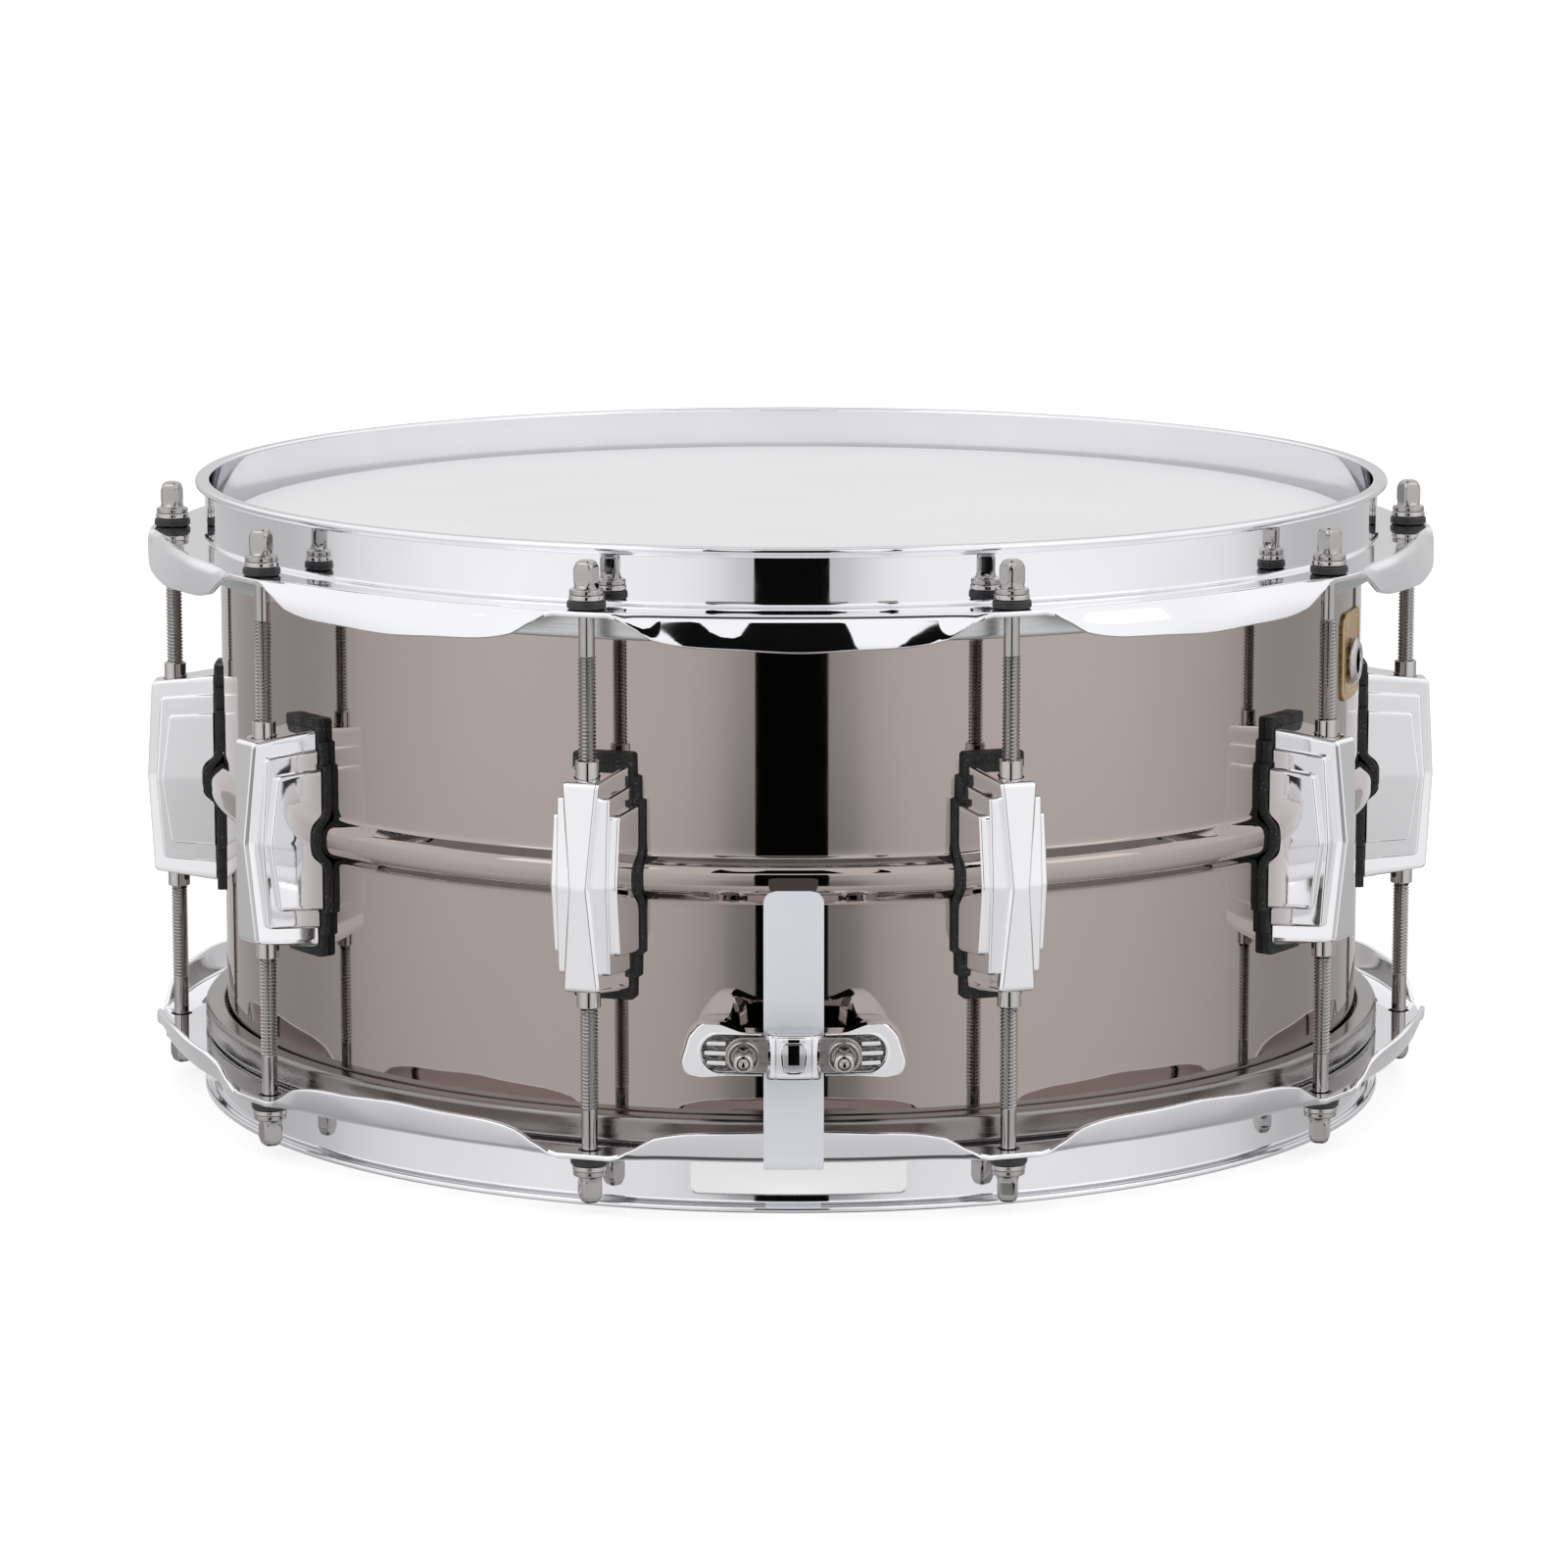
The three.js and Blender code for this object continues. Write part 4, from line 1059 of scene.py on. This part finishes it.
# ------------------------------------------------------------------ stage, light and camera
def card(name, width, height, place, facing, material):
    """A flat studio card that stands at a place and faces a point."""
    mesh = bpy.data.meshes.new(name)
    x, y = width / 2, height / 2
    mesh.from_pydata([(-x, -y, 0), (x, -y, 0), (x, y, 0), (-x, y, 0)], [], [(0, 1, 2, 3)])
    mesh.materials.append(material)
    made = in_scene(name, mesh, place)
    made.rotation_euler = (Vector(facing) - Vector(place)).to_track_quat("Z", "Y").to_euler()
    return made


def plain_material(name, colour, roughness, glow=0.0):
    made = Nodes(name, colour, roughness)
    made.rough(made.noise(3, 2), roughness, min(roughness + 0.1, 1))
    made.tint(made.noise(2, 2), tuple(c * 0.99 for c in colour), colour)
    made.set("Emission Color", (1, 1, 1, 1))
    made.set("Emission Strength", glow)
    return made.material


def softbox(name, size, place, power):
    light = bpy.data.lights.new(name, "AREA")
    light.shape = "RECTANGLE"
    light.size, light.size_y = size
    light.energy = power
    made = in_scene(name, light, place)
    made.rotation_euler = (Vector((0, 0, MID * MM)) - Vector(place)).to_track_quat("-Z", "Y").to_euler()


def make_world():
    """A white studio: brightest at both sides of the front and overhead, dimmer towards the back and
    towards the ground."""
    world = bpy.data.worlds.new("studio")
    bpy.context.scene.world = world
    world.use_nodes = True
    tree = world.node_tree

    def add(kind, **values):
        node = tree.nodes.new(kind)
        for key, value in values.items():
            setattr(node, key, value)
        return node

    def ramp(source, stops):
        node = add("ShaderNodeFloatCurve")
        curve = node.mapping.curves[0]
        for x, y in stops[1:-1]:
            curve.points.new(x, y)
        for point, (x, y) in zip(curve.points, stops):
            point.location = (x, y)
        node.mapping.update()
        tree.links.new(source, node.inputs["Value"])
        return node.outputs["Value"]

    def fed(node, sockets, values):
        for socket, value in zip(sockets, values):
            if isinstance(value, (int, float)):
                socket.default_value = value
            else:
                tree.links.new(value, socket)
        return node.outputs[0]

    def maths(operation, *values):
        node = add("ShaderNodeMath", operation=operation)
        return fed(node, node.inputs, values)

    def mixed(share, first, second):
        node = add("ShaderNodeMix")
        return fed(node, (node.inputs[0], *node.inputs[2:4]), (share, first, second))

    direction = add("ShaderNodeTexCoord").outputs["Generated"]
    parts = add("ShaderNodeSeparateXYZ")
    tree.links.new(direction, parts.inputs[0])
    flat = add("ShaderNodeCombineXYZ")
    tree.links.new(parts.outputs["X"], flat.inputs["X"])
    tree.links.new(parts.outputs["Y"], flat.inputs["Y"])
    unit = add("ShaderNodeVectorMath", operation="NORMALIZE")
    tree.links.new(flat.outputs[0], unit.inputs[0])
    level = add("ShaderNodeSeparateXYZ")
    tree.links.new(unit.outputs[0], level.inputs[0])
    # 0 faces the front and 1 the back; the other runs from straight down to straight up
    backness = maths("MULTIPLY_ADD", level.outputs["Y"], 0.5, 0.5)
    upness = maths("MULTIPLY_ADD", parts.outputs["Z"], 0.5, 0.5)
    behind = [(0.62, 0.58), (0.75, 0.5), (1, 0.6)]
    level_sides = [(0.25, 0.94), (0.42, 0.83), (0.54, 0.73)]
    lower_sides = [(0.13, 0.88), (0.25, 0.86), (0.42, 0.78), (0.54, 0.69)]
    level_view = ramp(backness, [(0, 0.5), (0.008, 0.6), (0.015, 0.73), (0.025, 0.81), (0.05, 0.88),
                                 *level_sides, *behind])
    lower_view = ramp(backness, [(0, 0.3), (0.0075, 0.36), (0.017, 0.59), (0.027, 0.705), (0.055, 0.82),
                                 *lower_sides, *behind])
    steep_view = ramp(backness, [(0, 0.9), (0.055, 0.9), *level_sides, *behind])

    below = mixed(ramp(upness, [(0, 0), (0.28, 0), (0.36, 1), (1, 1)]), steep_view, lower_view)
    around = mixed(ramp(upness, [(0, 0), (0.395, 0), (0.43, 1), (1, 1)]), below, level_view)
    ground = ramp(upness, [(0, 0.62), (0.15, 0.7), (0.28, 0.86), (0.38, 0.93), (0.42, 1.0), (1, 1.0)])
    overhead = ramp(upness, [(0, 0), (0.56, 0), (0.72, 1), (1, 1)])
    walls = maths("MULTIPLY", around, ground)
    tree.links.new(mixed(overhead, walls, 1.0), tree.nodes["Background"].inputs["Strength"])
    tree.nodes["Background"].inputs["Color"].default_value = (1, 1, 1, 1)


def room_outline():
    """The unlit gaps between the white cards, as the batter hoop's skirt mirrors them. Each corner is an
    azimuth from the front and an elevation, in degrees, carried out to a plane in front of the drum."""
    wide = [(-18.6, 54), (-18.1, 38), (-17.2, 8), (10, 8), (8.8, 24), (6.8, 52), (-7, 52), (-7.5, 44),
            (-8.8, 33), (-10.2, 30), (-12.5, 31), (-14.5, 36), (-16.8, 46)]
    narrow = [(15.2, 8), (19.2, 8), (20.1, 26), (20.8, 54), (19.6, 44), (18.2, 32), (17, 22)]
    points, faces = [], []
    for corners in (wide, narrow):
        faces.append(tuple(range(len(points), len(points) + len(corners))))
        for azimuth, elevation in corners:
            x, y, z = Vector(at_angle(SKIRT_R, azimuth / 2, HEIGHT - 24)) * MM
            run = (y - ROOM_Y) / math.cos(math.radians(azimuth))
            x += run * math.sin(math.radians(azimuth))
            z += run * math.tan(math.radians(elevation))
            points.append((x, ROOM_Y, z))
    mesh = bpy.data.meshes.new("dark_room")
    mesh.from_pydata(points, [], faces)
    return mesh


def make_studio():
    """The floor glows a little, like a light table. The backdrop shows to the camera alone, and the
    dark cards in reflections alone."""
    bpy.context.scene.view_settings.view_transform = "Standard"
    make_world()
    pale = plain_material("pale_floor", (0.5, 0.5, 0.5), 0.8, 0.68)
    floor = card("floor", 30, 30, (0, 0, 0), (0, 0, 1), pale)
    floor.visible_glossy = False
    mesh = bpy.data.meshes.new("backdrop")
    work = bmesh.new()
    bmesh.ops.create_icosphere(work, subdivisions=4, radius=14)
    work.to_mesh(mesh)
    work.free()
    mesh.materials.append(plain_material("white_backdrop", (0.9, 0.9, 0.9), 0.9, 1.1))
    backdrop = in_scene("backdrop", mesh)
    black = plain_material("black_card", (0.004, 0.004, 0.004), 1.0)
    black_shader = black.node_tree.nodes["Principled BSDF"]
    black_shader.inputs["Specular IOR Level"].default_value = 0.0
    gap = card("dark_gap", 0.46, 1.35, (-0.02, -1.95, 0.2), (-0.02, 0, 0.2), black)
    dim = plain_material("dim_card", (0.004, 0.004, 0.004), 1.0, 0.07)
    ceiling = card("dark_ceiling", 1.3, 1.3, (0, 0, 3), (0, 0, 0), dim)
    pit = card("dark_pit", 2.2, 2.2, (0, 0, -3), (0, 0, 0), dim)
    room = in_scene("dark_room", room_outline())
    room.data.materials.append(black)
    for stage_piece in (gap, room, ceiling, pit):
        stage_piece.visible_camera = False
    for stage_piece in (backdrop, gap, room, ceiling, pit):
        stage_piece.visible_shadow = False
        stage_piece.visible_diffuse = False
    backdrop.visible_glossy = backdrop.visible_transmission = False
    softbox("key", (1.2, 0.8), (-1.5, -1.3, 1.9), 2.5)
    softbox("fill", (1.2, 0.8), (1.7, -1.1, 1.5), 1.5)


def make_camera():
    data = bpy.data.cameras.new("camera")
    data.sensor_width = 36
    data.lens = 129.03
    made = in_scene("camera", data, (-0.0220, -1.7448, 0.3993))
    made.rotation_euler = (math.radians(80.014), 0, math.radians(-0.65))
    bpy.context.scene.camera = made


make_camera()
make_shell()
make_hoops()
make_heads()
make_lugs()
make_rods()
make_badge()
make_butt()
make_snares()
make_strainer()
make_studio()
